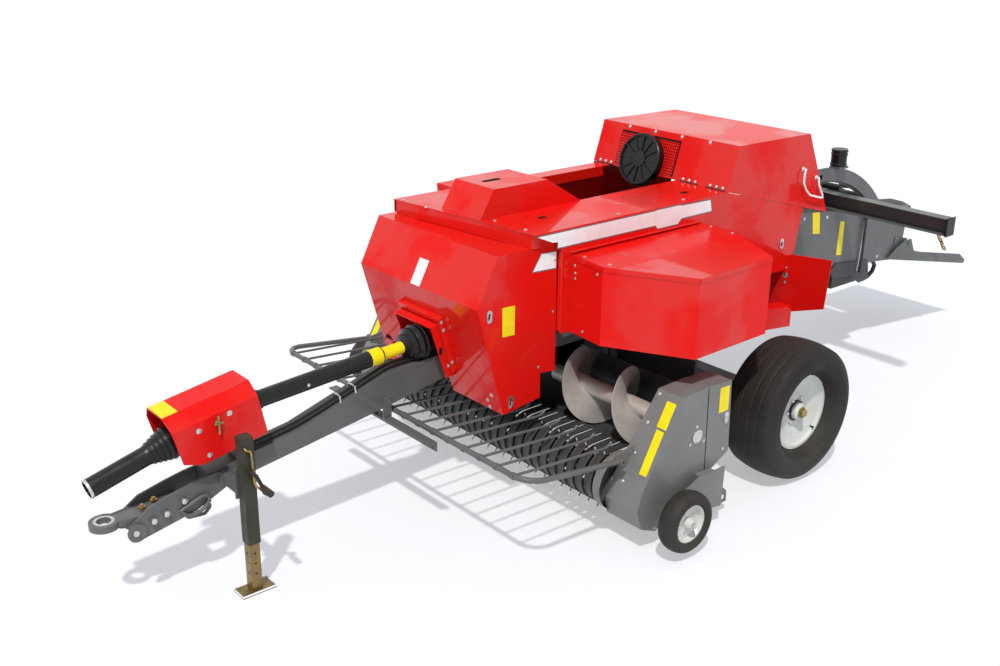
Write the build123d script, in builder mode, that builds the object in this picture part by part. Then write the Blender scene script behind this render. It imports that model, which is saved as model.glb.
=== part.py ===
"""Small square baler, towed, in its parking pose: on its two road wheels and its jack.

X runs forward to the drawbar eye, Y to the machine's left, Z up. The sizes below are measured
from the ground under the middle of the axle; save() moves each finished piece so that the
origin lies under the middle of the whole machine. Side profiles are lists of (x, z) points,
plan profiles (x, y) points and front profiles (y, z) points. All sizes in millimetres.
"""
from math import atan2, cos, degrees, hypot, radians, sin, tan
import os

from build123d import *

os.makedirs("parts", exist_ok=True)

# Sheet metal, shafts and running gaps
SHEET = 4
PLATE = 12
RUNNING_GAP = 0.05
SEAT_GAP = 0.2

# Road wheels and axle
TYRE_RADIUS = 390
TYRE_HALF_WIDTH = 170
BEAD_RADIUS = 205
BEAD_HALF_WIDTH = 85
TRACK_HALF = 1077
AXLE_BEAM = 100
AXLE_BEAM_HALF = 850
SPINDLE_RADIUS = 25
HUB_RADIUS = 48
HUB_OUTER = 95
DISC_OFFSET = 45

# Gauge wheels of the pickup
GAUGE_X = 1124
GAUGE_Y = 1343
GAUGE_Z = 197
GAUGE_RADIUS = 157
GAUGE_HALF_WIDTH = 54
GAUGE_RIM_RADIUS = 98
GAUGE_PIN_RADIUS = 12

# Frame rails beside the bale chamber
RAIL_INNER = 300
RAIL_WIDTH = 80
RAIL_BOTTOM = 800
RAIL_HEIGHT = 120
RAIL_WALL = 8
RAIL_REAR = -650
RAIL_FRONT = 1500
BEAM_REAR = 1470
BEAM_FRONT = 1550
BEAM_BOTTOM = 690
BEAM_HALF = 460

# Bale chamber: a tilted box, 457 x 356 clear inside
BALE_WIDTH = 457
BALE_HEIGHT = 356
CHAMBER_HALF = RAIL_INNER
CHAMBER_FLOOR = 12
CHAMBER_SKIN = 5
CHAMBER_FRONT = 1100
CHAMBER_REAR = -2290
CHAMBER_SLOPE = 0.117
CHAMBER_REF_X = -1450
CHAMBER_REF_Z = 727

# Red body: side panels, deck and hatch
BODY_LEFT = 528
BODY_RIGHT = -478
BODY_REAR = -20
BODY_FRONT = 1216
BODY_BOTTOM = 944
DECK_TOP = 1490
DECK_FRONT_LEFT = 1400
DECK_FRONT_RIGHT = 1520
WELL_FRONT = 746
WELL_RIGHT = -380
WELL_LEFT = 150
WELL_LIP = 60
HATCH_HALF = 158
HATCH_HEIGHT = 147

# Hood over the knotters
HOOD_HALF = 525
HOOD_PROFILE = [(-20, 1490), (-100, 1737), (-750, 1731), (-995, 1223)]
KNOTTER_REAR = -460
KNOTTER_FRONT = -240
KNOTTER_TOP = 1370
KNOTTER_HALF = 190
FAN_RADIUS = 150
FAN_DEPTH = 50
FAN_Y = -125
FAN_ALONG_SLOPE = 70
FAN_PIN_RADIUS = 8
FAN_RIBS = 12
FAN_BLADES = 7

# Front cover, hinged at its top
COVER_HALF = 495
COVER_PROFILE = [(1220, 1414), (1604, 1412), (1728, 1167), (1560, 580), (1315, 611), (1318, 745), (1216, 735)]
COVER_HINGE_X = 1530
COVER_HINGE_Z = 1388
COVER_PIN_RADIUS = 8
COVER_TAB_Y = 320
COVER_TOP_REAR = 1500
COVER_TOP_HALF = 335
SLOT_HALF = 85
SLOT_TOP = 1000
GUARD_HALF = 153
GUARD_PROFILE = [(1684, 1010), (1754, 988), (1655, 694), (1594, 700)]

# Tongue, hitch and eye
TONGUE_HALF = 60
TONGUE_WALL = 8
TONGUE_TOP = [(1550, 790), (1939, 771), (2466, 608), (2640, 582), (2950, 535)]
TONGUE_BOTTOM = [(2950, 436), (2066, 572), (1550, 660)]
HITCH_PLATE = 12
HITCH_PROFILE = [
    (3350, 395), (3307, 318), (3025, 375), (2850, 455),
    (2850, 540), (3010, 520), (3110, 500), (3240, 468),
]
HITCH_BOLTS = [(3320, 369), (3234, 400), (3173, 416), (3086, 450)]
BOLT_HEAD_RADIUS = 15
BOLT_HEAD_HEIGHT = 12
EYE_X = 3426
EYE_Z = 418
EYE_RADIUS = 66
EYE_BORE_RADIUS = 32
EYE_THICKNESS = 30

# Jack
JACK_X = 2870
JACK_Y = 280
JACK_TUBE = 60
JACK_WALL = 4
JACK_BOTTOM = 250
JACK_TOP = 780
JACK_PIVOT_Z = 560
JACK_PIN_RADIUS = 12
CRANK_REACH = 60
CRANK_RADIUS = 9
KNOB_LENGTH = 70
KNOB_RADIUS = 16
JACK_SLIDE_GAP = 0.3
JACK_LEG = JACK_TUBE - 2 * (JACK_WALL + JACK_SLIDE_GAP)
JACK_LEG_TOP = 460
FOOT_THICKNESS = 8
FOOT_HALF_X = 85
FOOT_HALF_Y = 48

# Drive line
SHAFT_RADIUS = 28
GUARD_TUBE_RADIUS = 42
GUARD_TUBE_WALL = 5
GEARBOX_FRONT = 1550
GEARBOX_REAR = 1200
GEARBOX_HALF = 130
GEARBOX_TOP = 1030
DRIVE_REAR_Z = 879
KNUCKLE_X = 2850
KNUCKLE_Z = 781
KNUCKLE_RADIUS = 20
BEARING_SETBACK = 50
BEARING_LENGTH = 60
BEARING_FRONT = KNUCKLE_X - BEARING_SETBACK
BEARING_REAR = BEARING_FRONT - BEARING_LENGTH
FRONT_TUBE_END_X = 3480
FRONT_TUBE_END_Z = 604
FRONT_TUBE_RADIUS = 45
FRONT_SHAFT_RADIUS = 16

# Hoses along the tongue
HOSE_RADIUS = 9
HOSE_END_GAP = 3
HOSE_RUN = [
    (1701, 794), (1810, 793), (1925, 792), (2090, 738),
    (2270, 680), (2450, 626), (2620, 598), (BEARING_REAR - HOSE_END_GAP, 583),
]

# Red shield over the front of the drive line
SHIELD_ROOF_HALF = 77
SHIELD_HALF = 130
SHIELD_PROFILE = [(3150, 869), (2724, 942), (2672, 685), (2756, 665), (3003, 622), (3091, 648)]
SHIELD_SHOULDER_DROP = 62

# Pickup
PICKUP_PIVOT_X = 620
PICKUP_PIVOT_Z = 600
PICKUP_PIN_RADIUS = 12
SIDE_OUTER = 1200
SIDE_INNER_TOP = 1045
SIDE_INNER_BOTTOM = 962
SIDE_PROFILE = [
    (1034, 771), (845, 778), (670, 768), (653, 377), (829, 286),
    (1174, 97), (1276, 141), (1312, 247), (1290, 326),
]
SIDE_TOP_Z = 778
SIDE_BOTTOM_Z = 97
REEL_X = 1205
REEL_Z = 290
TINE_TIP_RADIUS = 175
TINE_BAR_RADIUS = 85
TINE_BAR_THICKNESS = 12
TINE_DIAMETER = 6
TINE_PITCH = 66
TINE_COUNT = 29
TINE_ANGLES = [-52, 68, 188]
REEL_SHAFT_RADIUS = 15
REEL_SPIDERS = [-858, -297, 297, 858]
BAND_WIDTH = 48
BAND_RADIUS = 140
BAND_THICKNESS = 6
BAND_START = -110
BAND_END = 90
AUGER_X = 975
AUGER_Z = 590
AUGER_RADIUS = 185
AUGER_CORE_RADIUS = 45
AUGER_PITCH = 310
AUGER_INNER = 270
AUGER_OUTER = 980
AUGER_SHAFT_RADIUS = 20
PAN_RADIUS = 195
PAN_SHEET = 5
PAN_HALF = 955
FEED_HALF = 240

# Windguard in front of the pickup
GUARD_PIVOT_X = 1306
GUARD_PIVOT_Z = 470
GUARD_TUBE_X = 1900
GUARD_TUBE_Z = 544
GUARD_ARM_Y = 1070
GUARD_BEND = 110
GUARD_TUBE = 14
GUARD_ROD_RADIUS = 5
GUARD_ROD_PITCH = 121
GUARD_RODS = 17
GUARD_ROD_REAR_X = 1300
GUARD_ROD_REAR_Z = 500

# Twine boxes
BOX_TOP = 1346
BOX_BOTTOM = BODY_BOTTOM
LID_GAP = 12
LEFT_BOX_PLAN = [(1156, 528), (1181, 774), (955, 1190), (400, 1175), (192, 783), (171, 594), (171, 528)]
RIGHT_BOX_PLAN = [(750, -478), (750, -1111), (200, -1111), (200, -478)]

# Rear: lamp beam, density frame, chute
LAMP_X = -1450
LAMP_DEPTH = 80
LAMP_BOTTOM = 1120
LAMP_TOP = 1225
LAMP_HALF = 1090
CHUTE_TIP_X = -3060
CHUTE_PIVOT_X = -2330
CHUTE_PIVOT_Z = 742
CHUTE_PIN_RADIUS = 10
CHUTE_FRONT_X = -2110
CHUTE_FRONT_Y = 314
CHUTE_REAR_Y = 388
CHUTE_PROFILE = [
    (-2110, 660), (-2204, 728), (-2300, 770), (-2360, 770),
    (-2411, 668), (-2987, 554), (-3060, 500), (-3054, 471),
]
CANISTER_X = -1430
CANISTER_Y = 286
CANISTER_RADIUS = 50
CANISTER_BOTTOM = 1410
CANISTER_TOP = 1520

# Plunger
PLUNGER_GAP = 4
PLUNGER_SEAT = 0.3
PLUNGER_SKID = 40
RAM_FACE = 20
PLUNGER_FRONT = 1090
PLUNGER_LENGTH = 440

# The origin of the finished part lies midway between the eye's front and the chute's tip
FRAME_SHIFT = (EYE_X + EYE_RADIUS + CHUTE_TIP_X) / 2


def save(part, name):
    """Moves a finished piece to the part's own origin, names it and writes it."""
    placed = part.moved(Location((-FRAME_SHIFT, 0, 0)))
    placed.label = name
    export_step(placed, f"parts/{name}.step")


def side_outline(points, y):
    """Closed side profile of (x, z) points, lying in the plane at y."""
    with BuildSketch(Plane.XZ.offset(-y)) as outline:
        with BuildLine():
            Polyline(*points, close=True)
        make_face()
    return outline.sketch


def slab(points, y_low, y_high, mode=Mode.ADD):
    """Side profile between two y planes, added to the sub-part in hand."""
    extrude(side_outline(points, y_high), amount=y_high - y_low, mode=mode)


def plan_slab(points, z_low, z_high, mode=Mode.ADD):
    """Plan profile of (x, y) points between two heights."""
    with BuildSketch(Plane.XY.offset(z_low)) as outline:
        with BuildLine():
            Polyline(*points, close=True)
        make_face()
    extrude(outline.sketch, amount=z_high - z_low, mode=mode)


def front_slab(points, x_low, x_high, mode=Mode.ADD):
    """Front profile of (y, z) points between two x planes."""
    with BuildSketch(Plane.YZ.offset(x_low)) as outline:
        with BuildLine():
            Polyline(*points, close=True)
        make_face()
    extrude(outline.sketch, amount=x_high - x_low, mode=mode)


def block(x_low, x_high, y_low, y_high, z_low, z_high, mode=Mode.ADD):
    """Plain box between three pairs of planes."""
    plan_slab([(x_low, y_low), (x_high, y_low), (x_high, y_high), (x_low, y_high)], z_low, z_high, mode)


def rod(start, end, radius, mode=Mode.ADD):
    """Round bar between two points."""
    along = Vector(*end) - Vector(*start)
    with BuildSketch(Plane(origin=start, z_dir=along)) as section:
        Circle(radius)
    extrude(section.sketch, amount=along.length, mode=mode)


def cross_pin(x, z, y_low, y_high, radius, mode=Mode.ADD):
    """Round bar along Y at (x, z)."""
    rod((x, y_low, z), (x, y_high, z), radius, mode)


def chamber_bottom(x):
    """Height of the tilted chamber's underside at x."""
    return CHAMBER_REF_Z + CHAMBER_SLOPE * (x - CHAMBER_REF_X)


CHAMBER_OUTER_HEIGHT = (BALE_HEIGHT + 2 * CHAMBER_FLOOR) / cos(atan2(CHAMBER_SLOPE, 1))


def chamber_top(x):
    """Height of the tilted chamber's top face at x."""
    return chamber_bottom(x) + CHAMBER_OUTER_HEIGHT


def drive_z(x):
    """Height of the middle shaft's axis at x."""
    return DRIVE_REAR_Z + (KNUCKLE_Z - DRIVE_REAR_Z) * (x - GEARBOX_FRONT) / (KNUCKLE_X - GEARBOX_FRONT)


def drive_point(x):
    """Point of the middle shaft's axis at x."""
    return (x, 0, drive_z(x))


def front_point(distance):
    """Point of the front shaft's axis at a distance from the knuckle."""
    run = FRONT_TUBE_END_X - KNUCKLE_X
    drop = FRONT_TUBE_END_Z - KNUCKLE_Z
    length = hypot(run, drop)
    return (KNUCKLE_X + run * distance / length, 0, KNUCKLE_Z + drop * distance / length)


FRONT_LENGTH = hypot(FRONT_TUBE_END_X - KNUCKLE_X, FRONT_TUBE_END_Z - KNUCKLE_Z)


def side_inner_y(z):
    """Distance of the pickup side's slanted inner face from the middle at height z."""
    share = (z - SIDE_BOTTOM_Z) / (SIDE_TOP_Z - SIDE_BOTTOM_Z)
    return SIDE_INNER_BOTTOM + (SIDE_INNER_TOP - SIDE_INNER_BOTTOM) * share


# Frame: rails beside the chamber, front cross beam, posts with the cover's hinge rod, outriggers
RAIL_OUTER = RAIL_INNER + RAIL_WIDTH
RAIL_TOP = RAIL_BOTTOM + RAIL_HEIGHT
POST_HALF_X = 12
POST_INNER = 255
POST_OUTER = 285
OUTRIGGER = 60
FRONT_OUTRIGGER_X = 1130
MIDDLE_OUTRIGGER_X = 40
REAR_OUTRIGGER_X = -620
LUG_INNER = 330
LUG_OUTER = 346
PICKUP_PIN_INNER = 302
with BuildPart() as main_frame:
    for side in (1, -1):
        low, high = sorted((side * RAIL_INNER, side * RAIL_OUTER))
        block(RAIL_REAR, RAIL_FRONT, low, high, RAIL_BOTTOM, RAIL_TOP)
        low, high = sorted((side * POST_INNER, side * POST_OUTER))
        block(
            COVER_HINGE_X - POST_HALF_X, COVER_HINGE_X + POST_HALF_X, low, high,
            RAIL_BOTTOM, COVER_HINGE_Z + COVER_PIN_RADIUS,
        )
        # Lugs and pins that the pickup hangs on
        lug = [
            (PICKUP_PIVOT_X - 30, PICKUP_PIVOT_Z - 25), (PICKUP_PIVOT_X + 30, PICKUP_PIVOT_Z - 25),
            (PICKUP_PIVOT_X + 60, RAIL_BOTTOM), (PICKUP_PIVOT_X - 60, RAIL_BOTTOM),
        ]
        low, high = sorted((side * LUG_INNER, side * LUG_OUTER))
        slab(lug, low, high)
        low, high = sorted((side * PICKUP_PIN_INNER, side * LUG_INNER))
        cross_pin(PICKUP_PIVOT_X, PICKUP_PIVOT_Z, low, high, PICKUP_PIN_RADIUS)
        # The rail is a tube
        low, high = sorted((side * (RAIL_INNER + RAIL_WALL), side * (RAIL_OUTER - RAIL_WALL)))
        block(
            RAIL_REAR - 1, RAIL_FRONT + 1, low, high,
            RAIL_BOTTOM + RAIL_WALL, RAIL_TOP - RAIL_WALL, Mode.SUBTRACT,
        )
    block(BEAM_REAR, BEAM_FRONT, -BEAM_HALF, BEAM_HALF, BEAM_BOTTOM, RAIL_BOTTOM)
    cross_pin(COVER_HINGE_X, COVER_HINGE_Z, -COVER_TAB_Y - SHEET, COVER_TAB_Y + SHEET, COVER_PIN_RADIUS)
    block(
        FRONT_OUTRIGGER_X, FRONT_OUTRIGGER_X + OUTRIGGER,
        BODY_RIGHT + SHEET, BODY_LEFT - SHEET, RAIL_TOP, RAIL_TOP + OUTRIGGER,
    )
    for x in (MIDDLE_OUTRIGGER_X, REAR_OUTRIGGER_X):
        reach_left = BODY_LEFT - SHEET if x > BODY_REAR else HOOD_HALF - SHEET
        reach_right = BODY_RIGHT + SHEET if x > BODY_REAR else SHEET - HOOD_HALF
        block(x, x + OUTRIGGER, RAIL_INNER, reach_left, RAIL_TOP, RAIL_TOP + OUTRIGGER)
        block(x, x + OUTRIGGER, reach_right, -RAIL_INNER, RAIL_TOP, RAIL_TOP + OUTRIGGER)
save(main_frame.part, "main_frame")

# Axle: square beam, legs up to the rails, stub spindles
with BuildPart() as axle:
    half = AXLE_BEAM / 2
    block(-half, half, -AXLE_BEAM_HALF, AXLE_BEAM_HALF, TYRE_RADIUS - half, TYRE_RADIUS + half)
    for side in (1, -1):
        low, high = sorted((side * RAIL_INNER, side * RAIL_OUTER))
        leg = [(-45, TYRE_RADIUS + half), (45, TYRE_RADIUS + half), (110, RAIL_BOTTOM), (-110, RAIL_BOTTOM)]
        slab(leg, low, high)
        low, high = sorted((side * AXLE_BEAM_HALF, side * (TRACK_HALF + 60)))
        cross_pin(0, TYRE_RADIUS, low, high, SPINDLE_RADIUS)
save(axle.part, "axle")

# Bale chamber: double-walled sides, floor and top plate, tilted up to the front
CHAMBER_TILT = degrees(atan2(CHAMBER_SLOPE, 1))
CHAMBER_LENGTH = (CHAMBER_FRONT - CHAMBER_REAR) / cos(radians(CHAMBER_TILT))
SIDE_CAVITY = CHAMBER_HALF - BALE_WIDTH / 2 - 2 * CHAMBER_SKIN
along_chamber = Vector(cos(radians(CHAMBER_TILT)), 0, sin(radians(CHAMBER_TILT)))
rear_centre = (
    CHAMBER_REAR - (CHAMBER_OUTER_HEIGHT / 2) * sin(radians(CHAMBER_TILT)) * cos(radians(CHAMBER_TILT)), 0,
    chamber_bottom(CHAMBER_REAR) + (CHAMBER_OUTER_HEIGHT / 2) * cos(radians(CHAMBER_TILT)) ** 2,
)
FEED_REAR = 160
FEED_FRONT = 620
NEEDLE_SLOT_REAR = -220
NEEDLE_SLOT_FRONT = -90
NEEDLE_SLOT_Y = 110
NEEDLE_SLOT_HALF = 22
TOP_OPENING_REAR = -2160
TOP_OPENING_FRONT = -1640
TOP_OPENING_HALF = 150
with BuildPart() as bale_chamber:
    with BuildSketch(Plane(origin=rear_centre, x_dir=(0, 1, 0), z_dir=along_chamber)):
        Rectangle(2 * CHAMBER_HALF, BALE_HEIGHT + 2 * CHAMBER_FLOOR)
        Rectangle(BALE_WIDTH, BALE_HEIGHT, mode=Mode.SUBTRACT)
        cavity_y = BALE_WIDTH / 2 + CHAMBER_SKIN + SIDE_CAVITY / 2
        with Locations((cavity_y, 0), (-cavity_y, 0)):
            Rectangle(SIDE_CAVITY, BALE_HEIGHT, mode=Mode.SUBTRACT)
    extrude(amount=CHAMBER_LENGTH)
    # Feed opening in the floor, needle slots right through, open top near the outlet
    feed_z = chamber_bottom(FEED_REAR)
    block(
        FEED_REAR, FEED_FRONT, -BALE_WIDTH / 2, BALE_WIDTH / 2,
        feed_z - 50, chamber_bottom(FEED_FRONT) + 60, Mode.SUBTRACT,
    )
    for y in (NEEDLE_SLOT_Y, -NEEDLE_SLOT_Y):
        block(
            NEEDLE_SLOT_REAR, NEEDLE_SLOT_FRONT, y - NEEDLE_SLOT_HALF, y + NEEDLE_SLOT_HALF,
            chamber_bottom(NEEDLE_SLOT_REAR) - 50, chamber_top(NEEDLE_SLOT_FRONT) + 50, Mode.SUBTRACT,
        )
    block(
        TOP_OPENING_REAR, TOP_OPENING_FRONT, -TOP_OPENING_HALF, TOP_OPENING_HALF,
        chamber_top(TOP_OPENING_REAR) - 60, chamber_top(TOP_OPENING_FRONT) + 40, Mode.SUBTRACT,
    )
    # Pivot ears for the chute on both sides of the outlet
    for side in (1, -1):
        ear = [
            (CHAMBER_REAR + 90, CHUTE_PIVOT_Z - 45), (CHUTE_PIVOT_X - 28, CHUTE_PIVOT_Z - 28),
            (CHUTE_PIVOT_X - 28, CHUTE_PIVOT_Z + 28), (CHAMBER_REAR + 90, CHUTE_PIVOT_Z + 60),
        ]
        low, high = sorted((side * CHAMBER_HALF, side * (CHAMBER_HALF + 6)))
        slab(ear, low, high)
        low, high = sorted((side * (CHAMBER_HALF + 6), side * (CHAMBER_HALF + 46)))
        cross_pin(CHUTE_PIVOT_X, CHUTE_PIVOT_Z, low, high, CHUTE_PIN_RADIUS)
save(bale_chamber.part, "bale_chamber")

# Plunger that packs the hay, shown at the front end of its stroke
with BuildPart() as plunger:
    middle_x = PLUNGER_FRONT
    front_centre = (
        middle_x, 0, chamber_bottom(middle_x) + CHAMBER_OUTER_HEIGHT / 2,
    )
    with BuildSketch(Plane(origin=front_centre, x_dir=(0, 1, 0), z_dir=along_chamber * -1)):
        Rectangle(BALE_WIDTH - 2 * PLUNGER_GAP, BALE_HEIGHT - 2 * PLUNGER_GAP)
        Rectangle(
            BALE_WIDTH - 2 * PLUNGER_GAP - 2 * PLATE, BALE_HEIGHT - 2 * PLUNGER_GAP - 2 * PLATE,
            mode=Mode.SUBTRACT,
        )
        with Locations((180, 0), (-180, 0)):
            Rectangle(PLUNGER_SKID, BALE_HEIGHT - 2 * PLUNGER_SEAT)
            Rectangle(PLUNGER_SKID, BALE_HEIGHT - 2 * PLUNGER_GAP - 2 * PLATE, mode=Mode.SUBTRACT)
    extrude(amount=PLUNGER_LENGTH)
    # Ram face towards the bale
    face_centre = Vector(*front_centre) - along_chamber * PLUNGER_LENGTH
    with BuildSketch(Plane(origin=face_centre, x_dir=(0, 1, 0), z_dir=along_chamber)):
        Rectangle(BALE_WIDTH - 2 * PLUNGER_GAP, BALE_HEIGHT - 2 * PLUNGER_GAP)
    extrude(amount=RAM_FACE)
save(plunger.part, "plunger")

# Feeder duct from the auger trough up to the feed opening
FEED_MOUTH_X = 750
with BuildPart() as feeder_duct:
    outer = [
        (FEED_MOUTH_X, 465), (500, 465), (250, 590), (FEED_REAR - 15, chamber_bottom(FEED_REAR - 15)),
        (FEED_FRONT + 15, chamber_bottom(FEED_FRONT + 15)), (FEED_MOUTH_X, 727),
    ]
    inner = [
        (FEED_MOUTH_X + 10, 471), (502, 471), (255, 594), (FEED_REAR - 8, 1000),
        (FEED_FRONT + 8, 1000), (FEED_MOUTH_X - 4, 721), (FEED_MOUTH_X + 10, 721),
    ]
    slab(outer, -FEED_HALF, FEED_HALF)
    slab(inner, -FEED_HALF + 6, FEED_HALF - 6, Mode.SUBTRACT)
save(feeder_duct.part, "feeder_duct")

# Gearbox block behind the cover
with BuildPart() as gearbox:
    block(GEARBOX_REAR, GEARBOX_FRONT, -GEARBOX_HALF, GEARBOX_HALF, RAIL_BOTTOM, GEARBOX_TOP)
    rod(
        drive_point(GEARBOX_FRONT - 40), drive_point(GEARBOX_FRONT + 20),
        SHAFT_RADIUS + RUNNING_GAP, Mode.SUBTRACT,
    )
save(gearbox.part, "gearbox")

# Tongue: deep box beam that thins out to the hitch
with BuildPart() as tongue:
    slab(TONGUE_TOP + TONGUE_BOTTOM, -TONGUE_HALF, TONGUE_HALF)
    tongue_rear = tongue.faces().sort_by(Axis.X)[0]
    offset(amount=-TONGUE_WALL, openings=[tongue_rear])
    # Bulkhead where the two hoses end
    block(HOSE_RUN[0][0] - 12, HOSE_RUN[0][0] - SEAT_GAP, -12, 46, 770, HOSE_RUN[0][1] + HOSE_RADIUS + 3)
save(tongue.part, "tongue")

# Hitch: two bolted side plates with a hanging loop for the safety chain
LOOP_ROD = 8
with BuildPart() as hitch_plates:
    for side in (1, -1):
        low, high = sorted((side * TONGUE_HALF, side * (TONGUE_HALF + HITCH_PLATE)))
        slab(HITCH_PROFILE, low, high)
        outer_y = TONGUE_HALF + HITCH_PLATE
        low, high = sorted((side * outer_y, side * (outer_y + BOLT_HEAD_HEIGHT)))
        for x, z in HITCH_BOLTS:
            cross_pin(x, z, low, high, BOLT_HEAD_RADIUS)
    loop = [(2985, 62, 408), (2950, 62, 372), (2985, 62, 340), (3068, 62, 348), (3080, 62, 385)]
    with BuildLine() as loop_path:
        FilletPolyline(*loop, radius=16)
    with BuildSketch(Plane(origin=loop_path.line @ 0, z_dir=loop_path.line % 0)) as loop_section:
        Circle(LOOP_ROD)
    sweep(loop_section.sketch, path=loop_path.line)
save(hitch_plates.part, "hitch_plates")

# Drawbar eye: shank between the plates and a flat ring with an upright bore
SHANK_REAR = 3060
with BuildPart() as drawbar_eye:
    low_z = EYE_Z - EYE_THICKNESS / 2
    high_z = EYE_Z + EYE_THICKNESS / 2
    shank = [
        (SHANK_REAR, -TONGUE_HALF), (3270, -TONGUE_HALF), (EYE_X - 30, -42),
        (EYE_X - 30, 42), (3270, TONGUE_HALF), (SHANK_REAR, TONGUE_HALF),
    ]
    plan_slab(shank, low_z, high_z)
    rod((EYE_X, 0, low_z), (EYE_X, 0, high_z), EYE_RADIUS)
    rod((EYE_X, 0, low_z - 1), (EYE_X, 0, high_z + 1), EYE_BORE_RADIUS, Mode.SUBTRACT)
save(drawbar_eye.part, "drawbar_eye")

# Crossbar under the tongue: an angle section on two hangers
CROSSBAR_X = 1940
CROSSBAR_SIZE = 50
CROSSBAR_LEG = 6
HANGER = 8
CROSSBAR_TOP = 530
CROSSBAR_HALF = 450
with BuildPart() as crossbar:
    block(
        CROSSBAR_X, CROSSBAR_X + CROSSBAR_SIZE, -CROSSBAR_HALF, CROSSBAR_HALF,
        CROSSBAR_TOP - CROSSBAR_LEG, CROSSBAR_TOP,
    )
    block(
        CROSSBAR_X, CROSSBAR_X + CROSSBAR_LEG, -CROSSBAR_HALF, CROSSBAR_HALF,
        CROSSBAR_TOP - CROSSBAR_SIZE, CROSSBAR_TOP - CROSSBAR_LEG,
    )
    for side in (1, -1):
        low, high = sorted((side * TONGUE_HALF, side * (TONGUE_HALF + HANGER)))
        hanger_front = CROSSBAR_X + CROSSBAR_SIZE
        slab(
            [(CROSSBAR_X, CROSSBAR_TOP), (hanger_front, CROSSBAR_TOP),
             (hanger_front, 640), (CROSSBAR_X, 650)],
            low, high,
        )
save(crossbar.part, "crossbar")

# Jack: bracket on the tongue's side, swinging outer tube, sliding leg with its foot
PIVOT_INNER = JACK_Y - JACK_TUBE / 2 - 6
with BuildPart() as jack_bracket:
    arm = [(JACK_X - 18, 468), (JACK_X + 35, 462), (JACK_X + 35, 532), (JACK_X - 18, 535)]
    seat_y = TONGUE_HALF + HITCH_PLATE
    slab(arm, seat_y, seat_y + 10)
    block(JACK_X - 15, JACK_X + 25, seat_y + 10, PIVOT_INNER - 10, 475, 525)
    plate = [(JACK_X - 40, 465), (JACK_X + 40, 465), (JACK_X + 40, 610), (JACK_X - 40, 610)]
    slab(plate, PIVOT_INNER - 10, PIVOT_INNER)
    cross_pin(JACK_X, JACK_PIVOT_Z, PIVOT_INNER, JACK_Y - JACK_TUBE / 2 - SEAT_GAP, JACK_PIN_RADIUS)
save(jack_bracket.part, "jack_bracket")

with BuildPart() as jack_tube:
    half = JACK_TUBE / 2
    inner_half = half - JACK_WALL
    block(JACK_X - half, JACK_X + half, JACK_Y - half, JACK_Y + half, JACK_BOTTOM, JACK_TOP)
    block(
        JACK_X - inner_half, JACK_X + inner_half, JACK_Y - inner_half, JACK_Y + inner_half,
        JACK_BOTTOM - 1, JACK_TOP - 6, Mode.SUBTRACT,
    )
    crank_y = JACK_Y + half + CRANK_REACH
    crank_high = JACK_PIVOT_Z + 60
    knob_x = JACK_X - 30
    knob_z = JACK_PIVOT_Z - 10
    rod((JACK_X, JACK_Y + half, crank_high), (JACK_X, crank_y, crank_high), CRANK_RADIUS)
    rod((JACK_X, crank_y, crank_high), (knob_x, crank_y, knob_z), CRANK_RADIUS)
    rod((knob_x, crank_y - 5, knob_z), (knob_x, crank_y + KNOB_LENGTH, knob_z), KNOB_RADIUS)
save(jack_tube.part, "jack_tube")

with BuildPart() as jack_leg:
    half = JACK_LEG / 2
    block(JACK_X - half, JACK_X + half, JACK_Y - half, JACK_Y + half, FOOT_THICKNESS, JACK_LEG_TOP)
    inner_half = half - JACK_WALL
    block(
        JACK_X - inner_half, JACK_X + inner_half, JACK_Y - inner_half, JACK_Y + inner_half,
        FOOT_THICKNESS, JACK_LEG_TOP + 1, Mode.SUBTRACT,
    )
    block(
        JACK_X - FOOT_HALF_X, JACK_X + FOOT_HALF_X, JACK_Y - FOOT_HALF_Y, JACK_Y + FOOT_HALF_Y,
        0, FOOT_THICKNESS,
    )
save(jack_leg.part, "jack_leg")

# Bearing pedestal of the drive line, and the red shield that stands on it
with BuildPart() as shaft_bearing:
    slab(
        [(BEARING_REAR, 572), (BEARING_FRONT, 560), (BEARING_FRONT, 850), (BEARING_REAR, 860)],
        -55, 55,
    )
    block(BEARING_REAR, BEARING_FRONT, SHEET - SHIELD_HALF, SHIELD_HALF - SHEET, 700, 712)
    rod(
        drive_point(BEARING_REAR - 20), drive_point(BEARING_FRONT + 20),
        SHAFT_RADIUS + RUNNING_GAP, Mode.SUBTRACT,
    )
    slab(TONGUE_TOP + TONGUE_BOTTOM, -TONGUE_HALF, TONGUE_HALF, Mode.SUBTRACT)
save(shaft_bearing.part, "shaft_bearing")

SHIELD_FRONT = SHIELD_PROFILE[0]
SHIELD_REAR = SHIELD_PROFILE[1]
SHIELD_TILT = Vector(SHIELD_FRONT[0] - SHIELD_REAR[0], 0, SHIELD_FRONT[1] - SHIELD_REAR[1])


def shield_section(sheet):
    """Roofed cross-section of the shield, open below, drawn inside its skin by `sheet`."""
    roof = SHIELD_ROOF_HALF - sheet * 0.6
    return [(-SHIELD_HALF + sheet, -400), (-SHIELD_HALF + sheet, -SHIELD_SHOULDER_DROP - sheet * 0.4),
            (-roof, -sheet), (roof, -sheet),
            (SHIELD_HALF - sheet, -SHIELD_SHOULDER_DROP - sheet * 0.4), (SHIELD_HALF - sheet, -400)]


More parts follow.
